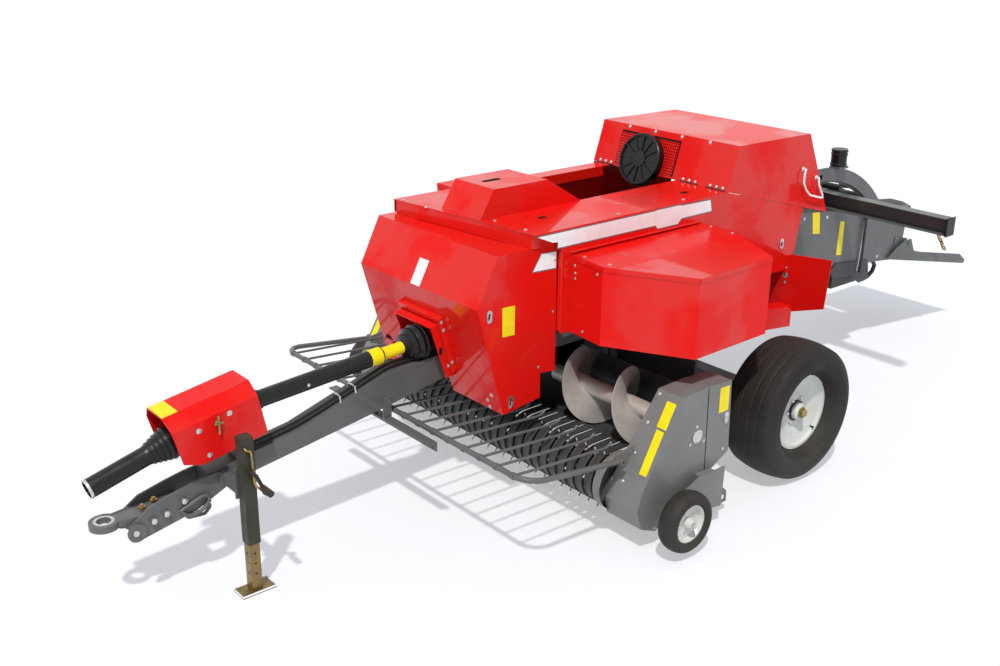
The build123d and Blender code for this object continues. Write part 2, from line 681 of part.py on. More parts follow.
with BuildPart() as front_shield:
    base = Plane(origin=(2600, 0, 942 + 0.171 * 124), x_dir=(0, 1, 0), z_dir=SHIELD_TILT)
    flip = 1 if base.y_dir.Z > 0 else -1
    with BuildSketch(base) as outer_section:
        with BuildLine():
            Polyline(*[(y, flip * z) for y, z in shield_section(0)], close=True)
        make_face()
        with BuildLine():
            Polyline(*[(y, flip * z) for y, z in shield_section(SHEET)], close=True)
        make_face(mode=Mode.SUBTRACT)
    extrude(amount=700)
    slab(SHIELD_PROFILE, -200, 200, Mode.INTERSECT)
save(front_shield.part, "front_shield")

# Guard tube of the middle shaft with a bellows at the gearbox
BELLOWS_RADIUS = 72
BELLOWS_END = 1690
GUARD_SOCKET = 20
with BuildPart() as drive_guard:
    rod(drive_point(GEARBOX_FRONT), drive_point(BEARING_REAR), GUARD_TUBE_RADIUS)
    rod(drive_point(GEARBOX_FRONT), drive_point(BELLOWS_END), BELLOWS_RADIUS)
    for x in (1580, 1610, 1640):
        rod(drive_point(x), drive_point(x + 14), BELLOWS_RADIUS + 8)
    rod(
        drive_point(GEARBOX_FRONT - 20), drive_point(BEARING_REAR + 20),
        GUARD_TUBE_RADIUS - GUARD_TUBE_WALL, Mode.SUBTRACT,
    )
    block(GEARBOX_FRONT - 60, GEARBOX_FRONT, -100, 100, 700, 1000, Mode.SUBTRACT)
    block(BEARING_REAR, BEARING_REAR + 60, -100, 100, 600, 1000, Mode.SUBTRACT)
save(drive_guard.part, "drive_guard")

with BuildPart() as drive_shaft:
    rod(drive_point(GEARBOX_FRONT - 30), drive_point(KNUCKLE_X - KNUCKLE_RADIUS - SEAT_GAP), SHAFT_RADIUS)
save(drive_shaft.part, "drive_shaft")

# Front shaft: knuckle ball, shaft, guard tube with cone; both tilt about the knuckle
CONE_REAR = 240
CONE_MIDDLE = 262
CONE_FRONT = 362
CONE_RADIUS = 78
with BuildPart() as front_shaft:
    rod(front_point(0), front_point(FRONT_LENGTH - 20), FRONT_SHAFT_RADIUS)
    with Locations(front_point(0)):
        Sphere(KNUCKLE_RADIUS)
save(front_shaft.part, "front_shaft")

front_axis = Vector(*front_point(1)) - Vector(*front_point(0))
with BuildPart() as front_guard:
    profile_normal = front_axis.cross(Vector(0, 1, 0)) * -1
    profile_plane = Plane(origin=front_point(0), x_dir=(0, 1, 0), z_dir=profile_normal)
    with BuildSketch(profile_plane) as profile:
        with BuildLine():
            wall = GUARD_TUBE_WALL
            tube = FRONT_TUBE_RADIUS
            flat = [
                (tube, 80), (tube + 12, 120), (CONE_RADIUS, 180), (CONE_RADIUS, CONE_MIDDLE),
                (tube + 2, CONE_FRONT), (tube, CONE_FRONT + 12),
                (tube, FRONT_LENGTH), (tube - wall, FRONT_LENGTH),
                (tube - wall, CONE_FRONT), (FRONT_SHAFT_RADIUS + RUNNING_GAP, CONE_FRONT),
                (FRONT_SHAFT_RADIUS + RUNNING_GAP, CONE_FRONT - 24), (tube - wall, CONE_FRONT - 24),
                (CONE_RADIUS - wall - 3, CONE_MIDDLE), (CONE_RADIUS - wall, 184),
                (tube + 12 - wall, 126), (tube - wall, 80),
            ]
            Polyline(*flat, close=True)
        make_face()
    revolve(axis=Axis(front_point(0), tuple(front_axis)))
save(front_guard.part, "front_guard")

# Two hoses that lie along the tongue
with BuildPart() as hoses:
    for y in (30, 4):
        points = [(x, y, z) for x, z in HOSE_RUN]
        radii = []
        for before, at, after in zip(points, points[1:], points[2:]):
            first = Vector(*at) - Vector(*before)
            second = Vector(*after) - Vector(*at)
            half_turn = radians(first.get_angle(second)) / 2
            radii.append(0.45 * min(first.length, second.length) / tan(half_turn))
        with BuildLine() as hose_path:
            FilletPolyline(*points, radius=radii)
        with BuildSketch(Plane(origin=hose_path.line @ 0, z_dir=hose_path.line % 0)) as hose_section:
            Circle(HOSE_RADIUS)
        sweep(hose_section.sketch, path=hose_path.line)
save(hoses.part, "hoses")

# Red side panels of the body; their front ends reach over the cover's rear edge
DECK_BOTTOM = DECK_TOP - SHEET
with BuildPart() as side_panel_left:
    slab(
        [(BODY_REAR, BODY_BOTTOM), (BODY_FRONT, BODY_BOTTOM), (BODY_FRONT, 1420), (BODY_FRONT + 46, 1430),
         (DECK_FRONT_LEFT - 2, DECK_BOTTOM), (BODY_REAR, DECK_BOTTOM)],
        BODY_LEFT - SHEET, BODY_LEFT,
    )
save(side_panel_left.part, "side_panel_left")

with BuildPart() as side_panel_right:
    slab(
        [(BODY_REAR, BODY_BOTTOM), (BODY_FRONT - 4, BODY_BOTTOM), (BODY_FRONT - 4, 1420),
         (DECK_FRONT_RIGHT - 4, 1420), (DECK_FRONT_RIGHT - 4, DECK_BOTTOM), (BODY_REAR, DECK_BOTTOM)],
        BODY_RIGHT, BODY_RIGHT + SHEET,
    )
save(side_panel_right.part, "side_panel_right")

# Deck with the open well in front of the knotters
with BuildPart() as deck:
    plan_slab(
        [(BODY_REAR, BODY_RIGHT), (DECK_FRONT_RIGHT, BODY_RIGHT),
         (DECK_FRONT_LEFT, BODY_LEFT), (BODY_REAR, BODY_LEFT)],
        DECK_BOTTOM, DECK_TOP,
    )
    lip_bottom = DECK_TOP - WELL_LIP
    block(BODY_REAR + 60, WELL_FRONT + SHEET, WELL_RIGHT - SHEET, WELL_LEFT + SHEET, lip_bottom, DECK_BOTTOM)
    block(BODY_REAR - 1, WELL_FRONT, WELL_RIGHT, WELL_LEFT, lip_bottom - 1, DECK_TOP + 1, Mode.SUBTRACT)
save(deck.part, "deck")

# Hatch on the deck: a low sheet housing with sloped ends
HATCH_BASE = [(746, DECK_TOP), (1440, DECK_TOP)]
HATCH_ROOF = [(1350, DECK_TOP + HATCH_HEIGHT), (990, DECK_TOP + HATCH_HEIGHT)]
with BuildPart() as hatch:
    slab(HATCH_BASE + HATCH_ROOF, -HATCH_HALF, HATCH_HALF)
    hatch_floor = hatch.faces().sort_by(Axis.Z)[0]
    offset(amount=-SHEET, openings=[hatch_floor])
save(hatch.part, "hatch")

# Rear side panels below the hood's seam
SEAM_FRONT = HOOD_PROFILE[0]
SEAM_REAR = HOOD_PROFILE[3]
SEAM_SLOPE = (SEAM_FRONT[1] - SEAM_REAR[1]) / (SEAM_FRONT[0] - SEAM_REAR[0])


def seam_z(x):
    """Height of the hood's seam at x."""
    return SEAM_FRONT[1] + SEAM_SLOPE * (x - SEAM_FRONT[0])


for side, name in ((1, "rear_side_panel_left"), (-1, "rear_side_panel_right")):
    with BuildPart() as rear_side_panel:
        lower = [
            (BODY_REAR - 1, BODY_BOTTOM), (BODY_REAR - 1, seam_z(BODY_REAR) - 2), (-750, seam_z(-750) - 2),
            (-705, 1034), (-640, 920),
        ]
        low, high = sorted((side * (HOOD_HALF - SHEET), side * HOOD_HALF))
        slab(lower, low, high)
    save(rear_side_panel.part, name)

# Hood: folded sheet, open below the seam, with the fan's opening in its front slope
slope_low = HOOD_PROFILE[0]
slope_high = HOOD_PROFILE[1]
slope_along = Vector(slope_high[0] - slope_low[0], 0, slope_high[1] - slope_low[1]).normalized()
slope_out = Vector(slope_along.Z, 0, -slope_along.X)
fan_base = Vector(HOOD_PROFILE[0][0], FAN_Y, HOOD_PROFILE[0][1]) + slope_along * FAN_ALONG_SLOPE
fan_plane = Plane(origin=fan_base, x_dir=(0, 1, 0), z_dir=slope_out)
FAN_OPENING = 110
with BuildPart() as hood:
    slab(HOOD_PROFILE, -HOOD_HALF, HOOD_HALF)
    seam_face = hood.faces().sort_by(Axis.Z)[0]
    offset(amount=-SHEET, openings=[seam_face])
    with BuildSketch(fan_plane.offset(5)) as opening:
        Circle(FAN_OPENING)
    extrude(opening.sketch, amount=-20, mode=Mode.SUBTRACT)
save(hood.part, "hood")

# Knotters under the hood, as one plain block on the chamber
with BuildPart() as knotters:
    knotter_side = [
        (KNOTTER_REAR, chamber_top(KNOTTER_REAR)), (KNOTTER_FRONT, chamber_top(KNOTTER_FRONT)),
        (KNOTTER_FRONT, KNOTTER_TOP), (KNOTTER_REAR, KNOTTER_TOP),
    ]
    slab(knotter_side, -KNOTTER_HALF, KNOTTER_HALF)
save(knotters.part, "knotters")

# Fan guard: a drum with radial ribs and a hub plate, on the hood's front slope
RIB_THICKNESS = 5
RIB_WIDTH = 7
with BuildPart() as fan_guard:
    with BuildSketch(fan_plane):
        Circle(FAN_RADIUS)
        Circle(FAN_RADIUS - SHEET, mode=Mode.SUBTRACT)
    extrude(amount=FAN_DEPTH)
    with BuildSketch(fan_plane.offset(FAN_DEPTH - RIB_THICKNESS)):
        Circle(FAN_RADIUS)
        Circle(FAN_RADIUS - 14, mode=Mode.SUBTRACT)
        with PolarLocations(FAN_RADIUS / 2, FAN_RIBS):
            Rectangle(FAN_RADIUS, RIB_WIDTH)
        Circle(45)
    extrude(amount=RIB_THICKNESS)
    with BuildSketch(fan_plane.offset(12)):
        Circle(FAN_PIN_RADIUS)
    extrude(amount=FAN_DEPTH - 12 - RIB_THICKNESS)
save(fan_guard.part, "fan_guard")

BLADE_RADIUS = 132
with BuildPart() as fan_rotor:
    with BuildSketch(fan_plane.offset(14)):
        Circle(32)
        with PolarLocations(BLADE_RADIUS / 2 + 12, FAN_BLADES):
            Rectangle(BLADE_RADIUS - 24, 38)
        Circle(FAN_PIN_RADIUS + RUNNING_GAP, mode=Mode.SUBTRACT)
    extrude(amount=18)
save(fan_rotor.part, "fan_rotor")

# Front cover: folded shell, open behind and below, with a slot over the tongue and shaft
with BuildPart() as front_cover:
    slab(COVER_PROFILE, -COVER_HALF, COVER_HALF)
    cover_openings = [
        face for face in front_cover.faces()
        if face.normal_at().Z < -0.5 or face.normal_at().X < -0.5
    ]
    offset(amount=-SHEET, openings=cover_openings)
    block(
        COVER_PROFILE[0][0] - 10, COVER_TOP_REAR, -COVER_TOP_HALF, COVER_TOP_HALF,
        COVER_PROFILE[0][1] - 20, COVER_PROFILE[0][1] + 10, Mode.SUBTRACT,
    )
    slab(GUARD_PROFILE, -GUARD_HALF, GUARD_HALF, Mode.SUBTRACT)
    nose = COVER_PROFILE[3]
    block(nose[0] - 20, 1760, -SLOT_HALF, SLOT_HALF, nose[1] - 20, SLOT_TOP - 40, Mode.SUBTRACT)
    for side in (1, -1):
        low, high = sorted((side * COVER_TAB_Y, side * (COVER_TAB_Y - 6)))
        tab = [
            (COVER_HINGE_X - 20, COVER_HINGE_Z - 18), (COVER_HINGE_X + 20, COVER_HINGE_Z - 18),
            (COVER_HINGE_X + 26, COVER_PROFILE[1][1] - SHEET / 2),
            (COVER_HINGE_X - 26, COVER_PROFILE[1][1] - SHEET / 2),
        ]
        slab(tab, low, high)
        bore = COVER_PIN_RADIUS + RUNNING_GAP
        cross_pin(COVER_HINGE_X, COVER_HINGE_Z, low - 1, high + 1, bore, Mode.SUBTRACT)
save(front_cover.part, "front_cover")

# Guard box round the shaft's rear joint, screwed to the cover
with BuildPart() as guard_box:
    slab(GUARD_PROFILE, -GUARD_HALF, GUARD_HALF)
    slab(
        [(1660, 1010 - SHEET), (1770, 984 - SHEET - 1), (1670, 680), (1560, 680)],
        SHEET - GUARD_HALF, GUARD_HALF - SHEET, Mode.SUBTRACT,
    )
save(guard_box.part, "guard_box")

# Twine boxes with hinged lids
with BuildPart() as twine_box_left:
    plan_slab(LEFT_BOX_PLAN, BOX_BOTTOM, BOX_TOP)
    box_mouth = twine_box_left.faces().sort_by(Axis.Z)[-1]
    offset(amount=-SHEET, openings=[box_mouth])
save(twine_box_left.part, "twine_box_left")

with BuildPart() as twine_box_right:
    plan_slab(RIGHT_BOX_PLAN, BOX_BOTTOM, BOX_TOP)
    box_mouth = twine_box_right.faces().sort_by(Axis.Z)[-1]
    offset(amount=-SHEET, openings=[box_mouth])
save(twine_box_right.part, "twine_box_right")

with BuildPart() as twine_lid_left:
    corners = [(x, y) for x, y in LEFT_BOX_PLAN if y != BODY_LEFT or x > 1000 or x < 180]
    lid_plan = [(x, max(y, BODY_LEFT + LID_GAP)) for x, y in corners]
    plan_slab(lid_plan, BOX_TOP, BOX_TOP + SHEET)
save(twine_lid_left.part, "twine_lid_left")

with BuildPart() as twine_lid_right:
    lid_plan = [(x, min(y, BODY_RIGHT - LID_GAP)) for x, y in RIGHT_BOX_PLAN]
    plan_slab(lid_plan, BOX_TOP, BOX_TOP + SHEET)
save(twine_lid_right.part, "twine_lid_right")

# Red panel behind the left box, across the machine
with BuildPart() as rear_wing:
    front_slab([(HOOD_HALF, 1015), (847, 1055), (847, 755), (HOOD_HALF, 925)], -624, -620)
save(rear_wing.part, "rear_wing")

# Lamp beam: channel open to the front, on two feet above the chamber
LAMP_REAR = LAMP_X - LAMP_DEPTH / 2
LAMP_FRONT = LAMP_X + LAMP_DEPTH / 2
FOOT_Y = 215
with BuildPart() as lamp_beam:
    block(LAMP_REAR, LAMP_FRONT, -LAMP_HALF, LAMP_HALF, LAMP_BOTTOM, LAMP_TOP)
    block(
        LAMP_REAR + SHEET, LAMP_FRONT + 1, SHEET - LAMP_HALF, LAMP_HALF - SHEET,
        LAMP_BOTTOM + SHEET, LAMP_TOP - SHEET, Mode.SUBTRACT,
    )
    for side in (1, -1):
        low, high = sorted((side * (FOOT_Y - 30), side * (FOOT_Y + 30)))
        foot = [
            (LAMP_REAR, LAMP_BOTTOM), (LAMP_REAR, chamber_top(LAMP_REAR)),
            (LAMP_FRONT, chamber_top(LAMP_FRONT)), (LAMP_FRONT, LAMP_BOTTOM),
        ]
        slab(foot, low, high)
save(lamp_beam.part, "lamp_beam")

# Density frame: arched side plates over the chamber and a lower pair at the outlet
with BuildPart() as density_frame:
    for side in (1, -1):
        for outer_y, top in ((292, 0), (262, -12)):
            low, high = sorted((side * (outer_y - 10), side * outer_y))
            with BuildSketch(Plane.XZ.offset(-high)) as arch:
                with BuildLine():
                    ThreePointArc((-1213, 1414 + top), (-1640, 1330 + top), (-1950, 1107))
                    Line((-1950, 1107), (-1960, chamber_top(-1960)))
                    Line((-1960, chamber_top(-1960)), (-1213, chamber_top(-1213)))
                    Line((-1213, chamber_top(-1213)), (-1213, 1414 + top))
                make_face()
            extrude(arch.sketch, amount=high - low)
        low, high = sorted((side * 236, side * 250))
        hump = [
            (-1964, chamber_top(-1964)), (-1990, 1094), (-2330, 1030),
            (-2452, 976), (-2440, 942), (-2344, chamber_top(-2344)),
        ]
        slab(hump, low, high)
    block(LAMP_REAR - 1, LAMP_FRONT + 1, -400, 400, 1000, LAMP_TOP + 1, Mode.SUBTRACT)
    block(-1260, -1230, -292, 292, 1360, 1390)
    block(-1960, -1930, -292, 292, 1070, 1085)
    block(-2430, -2400, -250, 250, 950, 965)
    block(CANISTER_X - 50, CANISTER_X + 50, 252, 330, CANISTER_BOTTOM - 14, CANISTER_BOTTOM)
save(density_frame.part, "density_frame")

# Black canister on the density frame
with BuildPart() as canister:
    rod((CANISTER_X, CANISTER_Y, CANISTER_BOTTOM), (CANISTER_X, CANISTER_Y, CANISTER_TOP), CANISTER_RADIUS)
save(canister.part, "canister")

# Needle yoke below the chamber, and the upright rod beside it
with BuildPart() as needle_frame:
    yoke = [
        (-1500, 745), (-1880, 700), (-1910, 560), (-1800, 548),
        (-1700, 620), (-1480, 640), (-1440, 700),
    ]
    for side in (1, -1):
        low, high = sorted((side * CHAMBER_HALF, side * (CHAMBER_HALF + 10)))
        slab(yoke, low, high)
    block(-1900, -1850, -CHAMBER_HALF, CHAMBER_HALF, 560, 610)
    cross_pin(-1780, 640, CHAMBER_HALF + 10, CHAMBER_HALF + 30, 10)
    rod((-1780, CHAMBER_HALF + 22, 630), (-1780, CHAMBER_HALF + 22, 1020), 8)
    cross_pin(-1780, 1010, CHAMBER_HALF, CHAMBER_HALF + 30, 8)
save(needle_frame.part, "needle_frame")

# Chute: floor and two flared side plates, folding up about pins at the outlet
CHUTE_SHEET = 5
CHUTE_TILT = atan2(CHUTE_REAR_Y - CHUTE_FRONT_Y, CHUTE_FRONT_X - CHUTE_TIP_X)
FLOOR_FRONT = -2345


def chute_y(x):
    """Inner face of the chute's side at x."""
    return CHUTE_FRONT_Y + (CHUTE_FRONT_X - x) * tan(CHUTE_TILT)


def chute_bottom(x):
    """Height of the chute's lower edge at x."""
    first, last = CHUTE_PROFILE[0], CHUTE_PROFILE[-1]
    return first[1] + (last[1] - first[1]) * (x - first[0]) / (last[0] - first[0])


with BuildPart() as chute:
    slab(CHUTE_PROFILE, -450, 450)
    inner_plan = [
        (CHUTE_FRONT_X + 50, chute_y(CHUTE_FRONT_X + 50)), (CHUTE_TIP_X - 50, chute_y(CHUTE_TIP_X - 50)),
        (CHUTE_TIP_X - 50, -chute_y(CHUTE_TIP_X - 50)), (CHUTE_FRONT_X + 50, -chute_y(CHUTE_FRONT_X + 50)),
    ]
    outer_plan = [
        (CHUTE_FRONT_X + 50, chute_y(CHUTE_FRONT_X + 50) + CHUTE_SHEET),
        (CHUTE_TIP_X - 50, chute_y(CHUTE_TIP_X - 50) + CHUTE_SHEET),
        (CHUTE_TIP_X - 50, -chute_y(CHUTE_TIP_X - 50) - CHUTE_SHEET),
        (CHUTE_FRONT_X + 50, -chute_y(CHUTE_FRONT_X + 50) - CHUTE_SHEET),
    ]
    plan_slab(outer_plan, 400, 900, Mode.INTERSECT)
    plan_slab(inner_plan, 400, 900, Mode.SUBTRACT)
    floor_run = Vector(CHUTE_TIP_X - FLOOR_FRONT, 0, chute_bottom(CHUTE_TIP_X) - chute_bottom(FLOOR_FRONT))
    floor_start = Vector(FLOOR_FRONT, 0, chute_bottom(FLOOR_FRONT))
    floor_plane = Plane(origin=floor_start, x_dir=floor_run, z_dir=floor_run.cross(Vector(0, 1, 0)) * -1)
    front_y = chute_y(FLOOR_FRONT) + 1
    rear_y = chute_y(CHUTE_TIP_X + 6) + 1
    with BuildSketch(floor_plane):
        with BuildLine():
            reach = floor_run.length - 6
            Polyline((0, -front_y), (reach, -rear_y), (reach, rear_y), (0, front_y), close=True)
        make_face()
    extrude(amount=CHUTE_SHEET * (1 if floor_plane.z_dir.Z > 0 else -1))
    cross_pin(CHUTE_PIVOT_X, CHUTE_PIVOT_Z, -500, 500, CHUTE_PIN_RADIUS + RUNNING_GAP, Mode.SUBTRACT)
save(chute.part, "chute")

# Chain that holds the chute, outboard of its left side
CHAIN_Y = 420
CHAIN_TOP = (-2420, 955)
CHAIN_BOTTOM = (-2690, 650)
CHAIN_LINKS = 9
LINK_WIRE = 8
LINK_WIDTH = 28
LINK_GAP = 0.4
with BuildPart() as chute_chain:
    step = Vector(CHAIN_BOTTOM[0] - CHAIN_TOP[0], 0, CHAIN_BOTTOM[1] - CHAIN_TOP[1]) * (1 / CHAIN_LINKS)
    link_inside = step.length + LINK_GAP
    for number in range(CHAIN_LINKS):
        centre = Vector(CHAIN_TOP[0], CHAIN_Y, CHAIN_TOP[1]) + step * (number + 0.5)
        across = Vector(0, 1, 0) if number % 2 else step.normalized().cross(Vector(0, 1, 0))
        with BuildSketch(Plane(origin=centre, x_dir=step.normalized(), z_dir=across)) as link:
            SlotOverall(link_inside + 2 * LINK_WIRE, LINK_WIDTH)
            SlotOverall(link_inside, LINK_WIDTH - 2 * LINK_WIRE, mode=Mode.SUBTRACT)
        extrude(link.sketch, amount=LINK_WIRE / 2, both=True)
    hook = Vector(CHAIN_TOP[0], 0, CHAIN_TOP[1]) + step.normalized() * (LINK_WIRE / 2 + LINK_GAP)
    cross_pin(hook.X, hook.Z, 250, CHAIN_Y + LINK_WIDTH / 2, LINK_WIRE / 2)
save(chute_chain.part, "chute_chain")

# Pickup frame: trough under the augers, lower cross tube, hinge arms
TUBE_REAR = 660
TUBE_FRONT = 740
TUBE_BOTTOM = 320
TUBE_TOP = 400
TROUGH_START = -58.5
TROUGH_WALL_TOP = 700
ARM_INNER = 304
ARM_OUTER = 326
with BuildPart() as pickup_frame:
    outer_radius = PAN_RADIUS + PAN_SHEET

    def trough_point(radius, angle):
        """Point of the trough at a radius and an angle from the auger's axis."""
        return (AUGER_X + radius * cos(radians(angle)), AUGER_Z + radius * sin(radians(angle)))

    with BuildSketch(Plane.XZ.offset(-PAN_HALF)) as trough:
        with BuildLine():
            ThreePointArc(*[trough_point(PAN_RADIUS, angle) for angle in (TROUGH_START, -120, -180)])
            Line(trough_point(PAN_RADIUS, -180), (AUGER_X - PAN_RADIUS, TROUGH_WALL_TOP))
            Line((AUGER_X - PAN_RADIUS, TROUGH_WALL_TOP), (AUGER_X - outer_radius, TROUGH_WALL_TOP))
            Line((AUGER_X - outer_radius, TROUGH_WALL_TOP), trough_point(outer_radius, -180))
            ThreePointArc(*[trough_point(outer_radius, angle) for angle in (-180, -120, TROUGH_START)])
            Line(trough_point(outer_radius, TROUGH_START), trough_point(PAN_RADIUS, TROUGH_START))
        make_face()
    extrude(trough.sketch, amount=2 * PAN_HALF)
    block(
        AUGER_X - outer_radius - 5, AUGER_X - PAN_RADIUS + 30, -FEED_HALF + 6, FEED_HALF - 6,
        480, TROUGH_WALL_TOP + 1, Mode.SUBTRACT,
    )
    tube_reach = side_inner_y(TUBE_BOTTOM) - SEAT_GAP
    block(TUBE_REAR, TUBE_FRONT, -tube_reach, tube_reach, TUBE_BOTTOM, TUBE_TOP)
    rib = [
        (TUBE_FRONT - 5, TUBE_BOTTOM + 5), (960, 372), (965, 393),
        (850, 445), (800, 510), (TUBE_FRONT - 5, TUBE_TOP),
    ]
    for y in (-900, -400, 400, 900):
        slab(rib, y - 4, y + 4)
    cross_pin(AUGER_X, AUGER_Z, -PAN_HALF - 1, PAN_HALF + 1, PAN_RADIUS, Mode.SUBTRACT)
    hinge_arm = [
        (TUBE_REAR, TUBE_BOTTOM + 10), (TUBE_FRONT - 2, TUBE_BOTTOM + 10), (TUBE_FRONT - 2, TUBE_TOP),
        (PICKUP_PIVOT_X + 28, PICKUP_PIVOT_Z + 25), (PICKUP_PIVOT_X - 25, PICKUP_PIVOT_Z + 25),
        (PICKUP_PIVOT_X - 25, PICKUP_PIVOT_Z - 25),
    ]
    for side in (1, -1):
        low, high = sorted((side * ARM_INNER, side * ARM_OUTER))
        slab(hinge_arm, low, high)
        bore = PICKUP_PIN_RADIUS + RUNNING_GAP
        cross_pin(PICKUP_PIVOT_X, PICKUP_PIVOT_Z, low - 1, high + 1, bore, Mode.SUBTRACT)
save(pickup_frame.part, "pickup_frame")

# Pickup sides: drive housings with the gauge wheel's arm and spindle
ARM_Y = 1242
ARM_PLATE = 8
BORE_DEPTH = 30
BOSS_WALL = 16
for side, name in ((1, "pickup_side_left"), (-1, "pickup_side_right")):
    with BuildPart() as pickup_side:
        low, high = sorted((side * 950, side * SIDE_OUTER))
        slab(SIDE_PROFILE, low, high)
        inner_face = [
            (side * 900, SIDE_BOTTOM_Z - 20), (side * side_inner_y(SIDE_BOTTOM_Z - 20), SIDE_BOTTOM_Z - 20),
            (side * side_inner_y(SIDE_TOP_Z + 20), SIDE_TOP_Z + 20), (side * 900, SIDE_TOP_Z + 20),
        ]
        front_slab(inner_face, 600, 1400, Mode.SUBTRACT)
        back_face = pickup_side.faces().sort_by(Axis.X)[0]
        offset(amount=-SHEET, openings=[back_face])
        for x, z, radius in ((AUGER_X, AUGER_Z, AUGER_SHAFT_RADIUS), (REEL_X, REEL_Z, REEL_SHAFT_RADIUS)):
            low, high = sorted((side * (side_inner_y(z) + 2), side * (side_inner_y(z) + BORE_DEPTH + 6)))
            cross_pin(x, z, low, high, radius + BOSS_WALL)
        gauge_arm = [(730, 330), (920, 330), (1160, 235), (1160, 165), (900, 130), (740, 110)]
        low, high = sorted((side * ARM_Y, side * (ARM_Y + ARM_PLATE)))
        slab(gauge_arm, low, high)
        low, high = sorted((side * SIDE_OUTER, side * ARM_Y))
        block(790, 900, low, high, 250, 320)
        low, high = sorted((side * (ARM_Y + ARM_PLATE), side * (GAUGE_Y + 40)))
        cross_pin(GAUGE_X, GAUGE_Z, low, high, GAUGE_PIN_RADIUS)
        # Lug and pin of the windguard, in front of the slope
        guard_lug = [
            (GUARD_PIVOT_X - 150, 520), (GUARD_PIVOT_X + 20, 490),
            (GUARD_PIVOT_X + 20, 450), (GUARD_PIVOT_X - 90, 410),
        ]
        low, high = sorted((side * 1040, side * 1048))
        slab(guard_lug, low, high)
        low, high = sorted((side * 1048, side * (1048 + 20)))
        cross_pin(GUARD_PIVOT_X, GUARD_PIVOT_Z, low, high, 7)
        # Bores for the auger and reel shafts
        low, high = sorted((side * 900, side * (side_inner_y(AUGER_Z) + BORE_DEPTH)))
        cross_pin(AUGER_X, AUGER_Z, low, high, AUGER_SHAFT_RADIUS + RUNNING_GAP, Mode.SUBTRACT)
        low, high = sorted((side * 900, side * (side_inner_y(REEL_Z) + BORE_DEPTH)))
        cross_pin(REEL_X, REEL_Z, low, high, REEL_SHAFT_RADIUS + RUNNING_GAP, Mode.SUBTRACT)
    save(pickup_side.part, name)

# Stripper bands: narrow curved strips between the tines, joined by two cross strips
BAND_TAIL_X = 1074
LOWER_TAIL = 122
with BuildPart() as stripper_bands:
    inner_radius = BAND_RADIUS - BAND_THICKNESS
    start = radians(BAND_START)

    def band_point(radius, angle, tail=0):
        """Point of a band at a radius and an angle, moved back along the tangent by `tail`."""
        return (
            REEL_X + radius * cos(angle) + tail * sin(angle),
            REEL_Z + radius * sin(angle) - tail * cos(angle),
        )

    first_y = -(TINE_COUNT - 1) / 2 * TINE_PITCH + (TINE_PITCH - BAND_WIDTH) / 2
    with BuildSketch(Plane.XZ.offset(-first_y - BAND_WIDTH)) as band:
        with BuildLine():
            ThreePointArc(
                band_point(BAND_RADIUS, start),
                (REEL_X + BAND_RADIUS, REEL_Z), (REEL_X, REEL_Z + BAND_RADIUS),
            )
            Line((REEL_X, REEL_Z + BAND_RADIUS), (BAND_TAIL_X, REEL_Z + BAND_RADIUS))
            Line((BAND_TAIL_X, REEL_Z + BAND_RADIUS), (BAND_TAIL_X, REEL_Z + inner_radius))
            Line((BAND_TAIL_X, REEL_Z + inner_radius), (REEL_X, REEL_Z + inner_radius))
            ThreePointArc(
                (REEL_X, REEL_Z + inner_radius), (REEL_X + inner_radius, REEL_Z),
                band_point(inner_radius, start),
            )
            Line(band_point(inner_radius, start), band_point(inner_radius, start, LOWER_TAIL))
            Line(band_point(inner_radius, start, LOWER_TAIL), band_point(BAND_RADIUS, start, LOWER_TAIL))
            Line(band_point(BAND_RADIUS, start, LOWER_TAIL), band_point(BAND_RADIUS, start))
        make_face()
    for number in range(TINE_COUNT - 1):
        extrude(band.sketch.moved(Location((0, number * TINE_PITCH, 0))), amount=BAND_WIDTH)
    strip_z = REEL_Z + BAND_RADIUS
    reach = side_inner_y(strip_z) - SEAT_GAP
    block(BAND_TAIL_X + 8, BAND_TAIL_X + 18, -reach, reach, strip_z, strip_z + 3)
    low_point = band_point(inner_radius, start, LOWER_TAIL)
    reach = side_inner_y(low_point[1] - 12) - SEAT_GAP
    block(low_point[0] - 8, low_point[0] + 6, -reach, reach, low_point[1] - 12, low_point[1] - 1)
save(stripper_bands.part, "stripper_bands")

# Tine reel: shaft, spiders, three bars and their spring tines
with BuildPart() as tine_reel:
    reel_reach = side_inner_y(REEL_Z) + BORE_DEPTH - 5
    cross_pin(REEL_X, REEL_Z, -reel_reach, reel_reach, REEL_SHAFT_RADIUS)
    bar_reach = (TINE_COUNT - 1) / 2 * TINE_PITCH + 10
    for y in REEL_SPIDERS:
        cross_pin(REEL_X, REEL_Z, y - 3, y + 3, TINE_BAR_RADIUS + 14)
    for angle in TINE_ANGLES:
        turn = radians(angle)
        bar_x = REEL_X + TINE_BAR_RADIUS * cos(turn)
        bar_z = REEL_Z + TINE_BAR_RADIUS * sin(turn)
        cross_pin(bar_x, bar_z, -bar_reach, bar_reach, TINE_BAR_THICKNESS)
        tine_plane = Plane(origin=(bar_x, 0, bar_z), x_dir=(0, 1, 0), z_dir=(cos(turn), 0, sin(turn)))
        with BuildSketch(tine_plane) as tines:
            with GridLocations(TINE_PITCH, 1, TINE_COUNT, 1):
                RegularPolygon(TINE_DIAMETER / 2, 6)
        extrude(tines.sketch, amount=TINE_TIP_RADIUS - TINE_BAR_RADIUS)
save(tine_reel.part, "tine_reel")

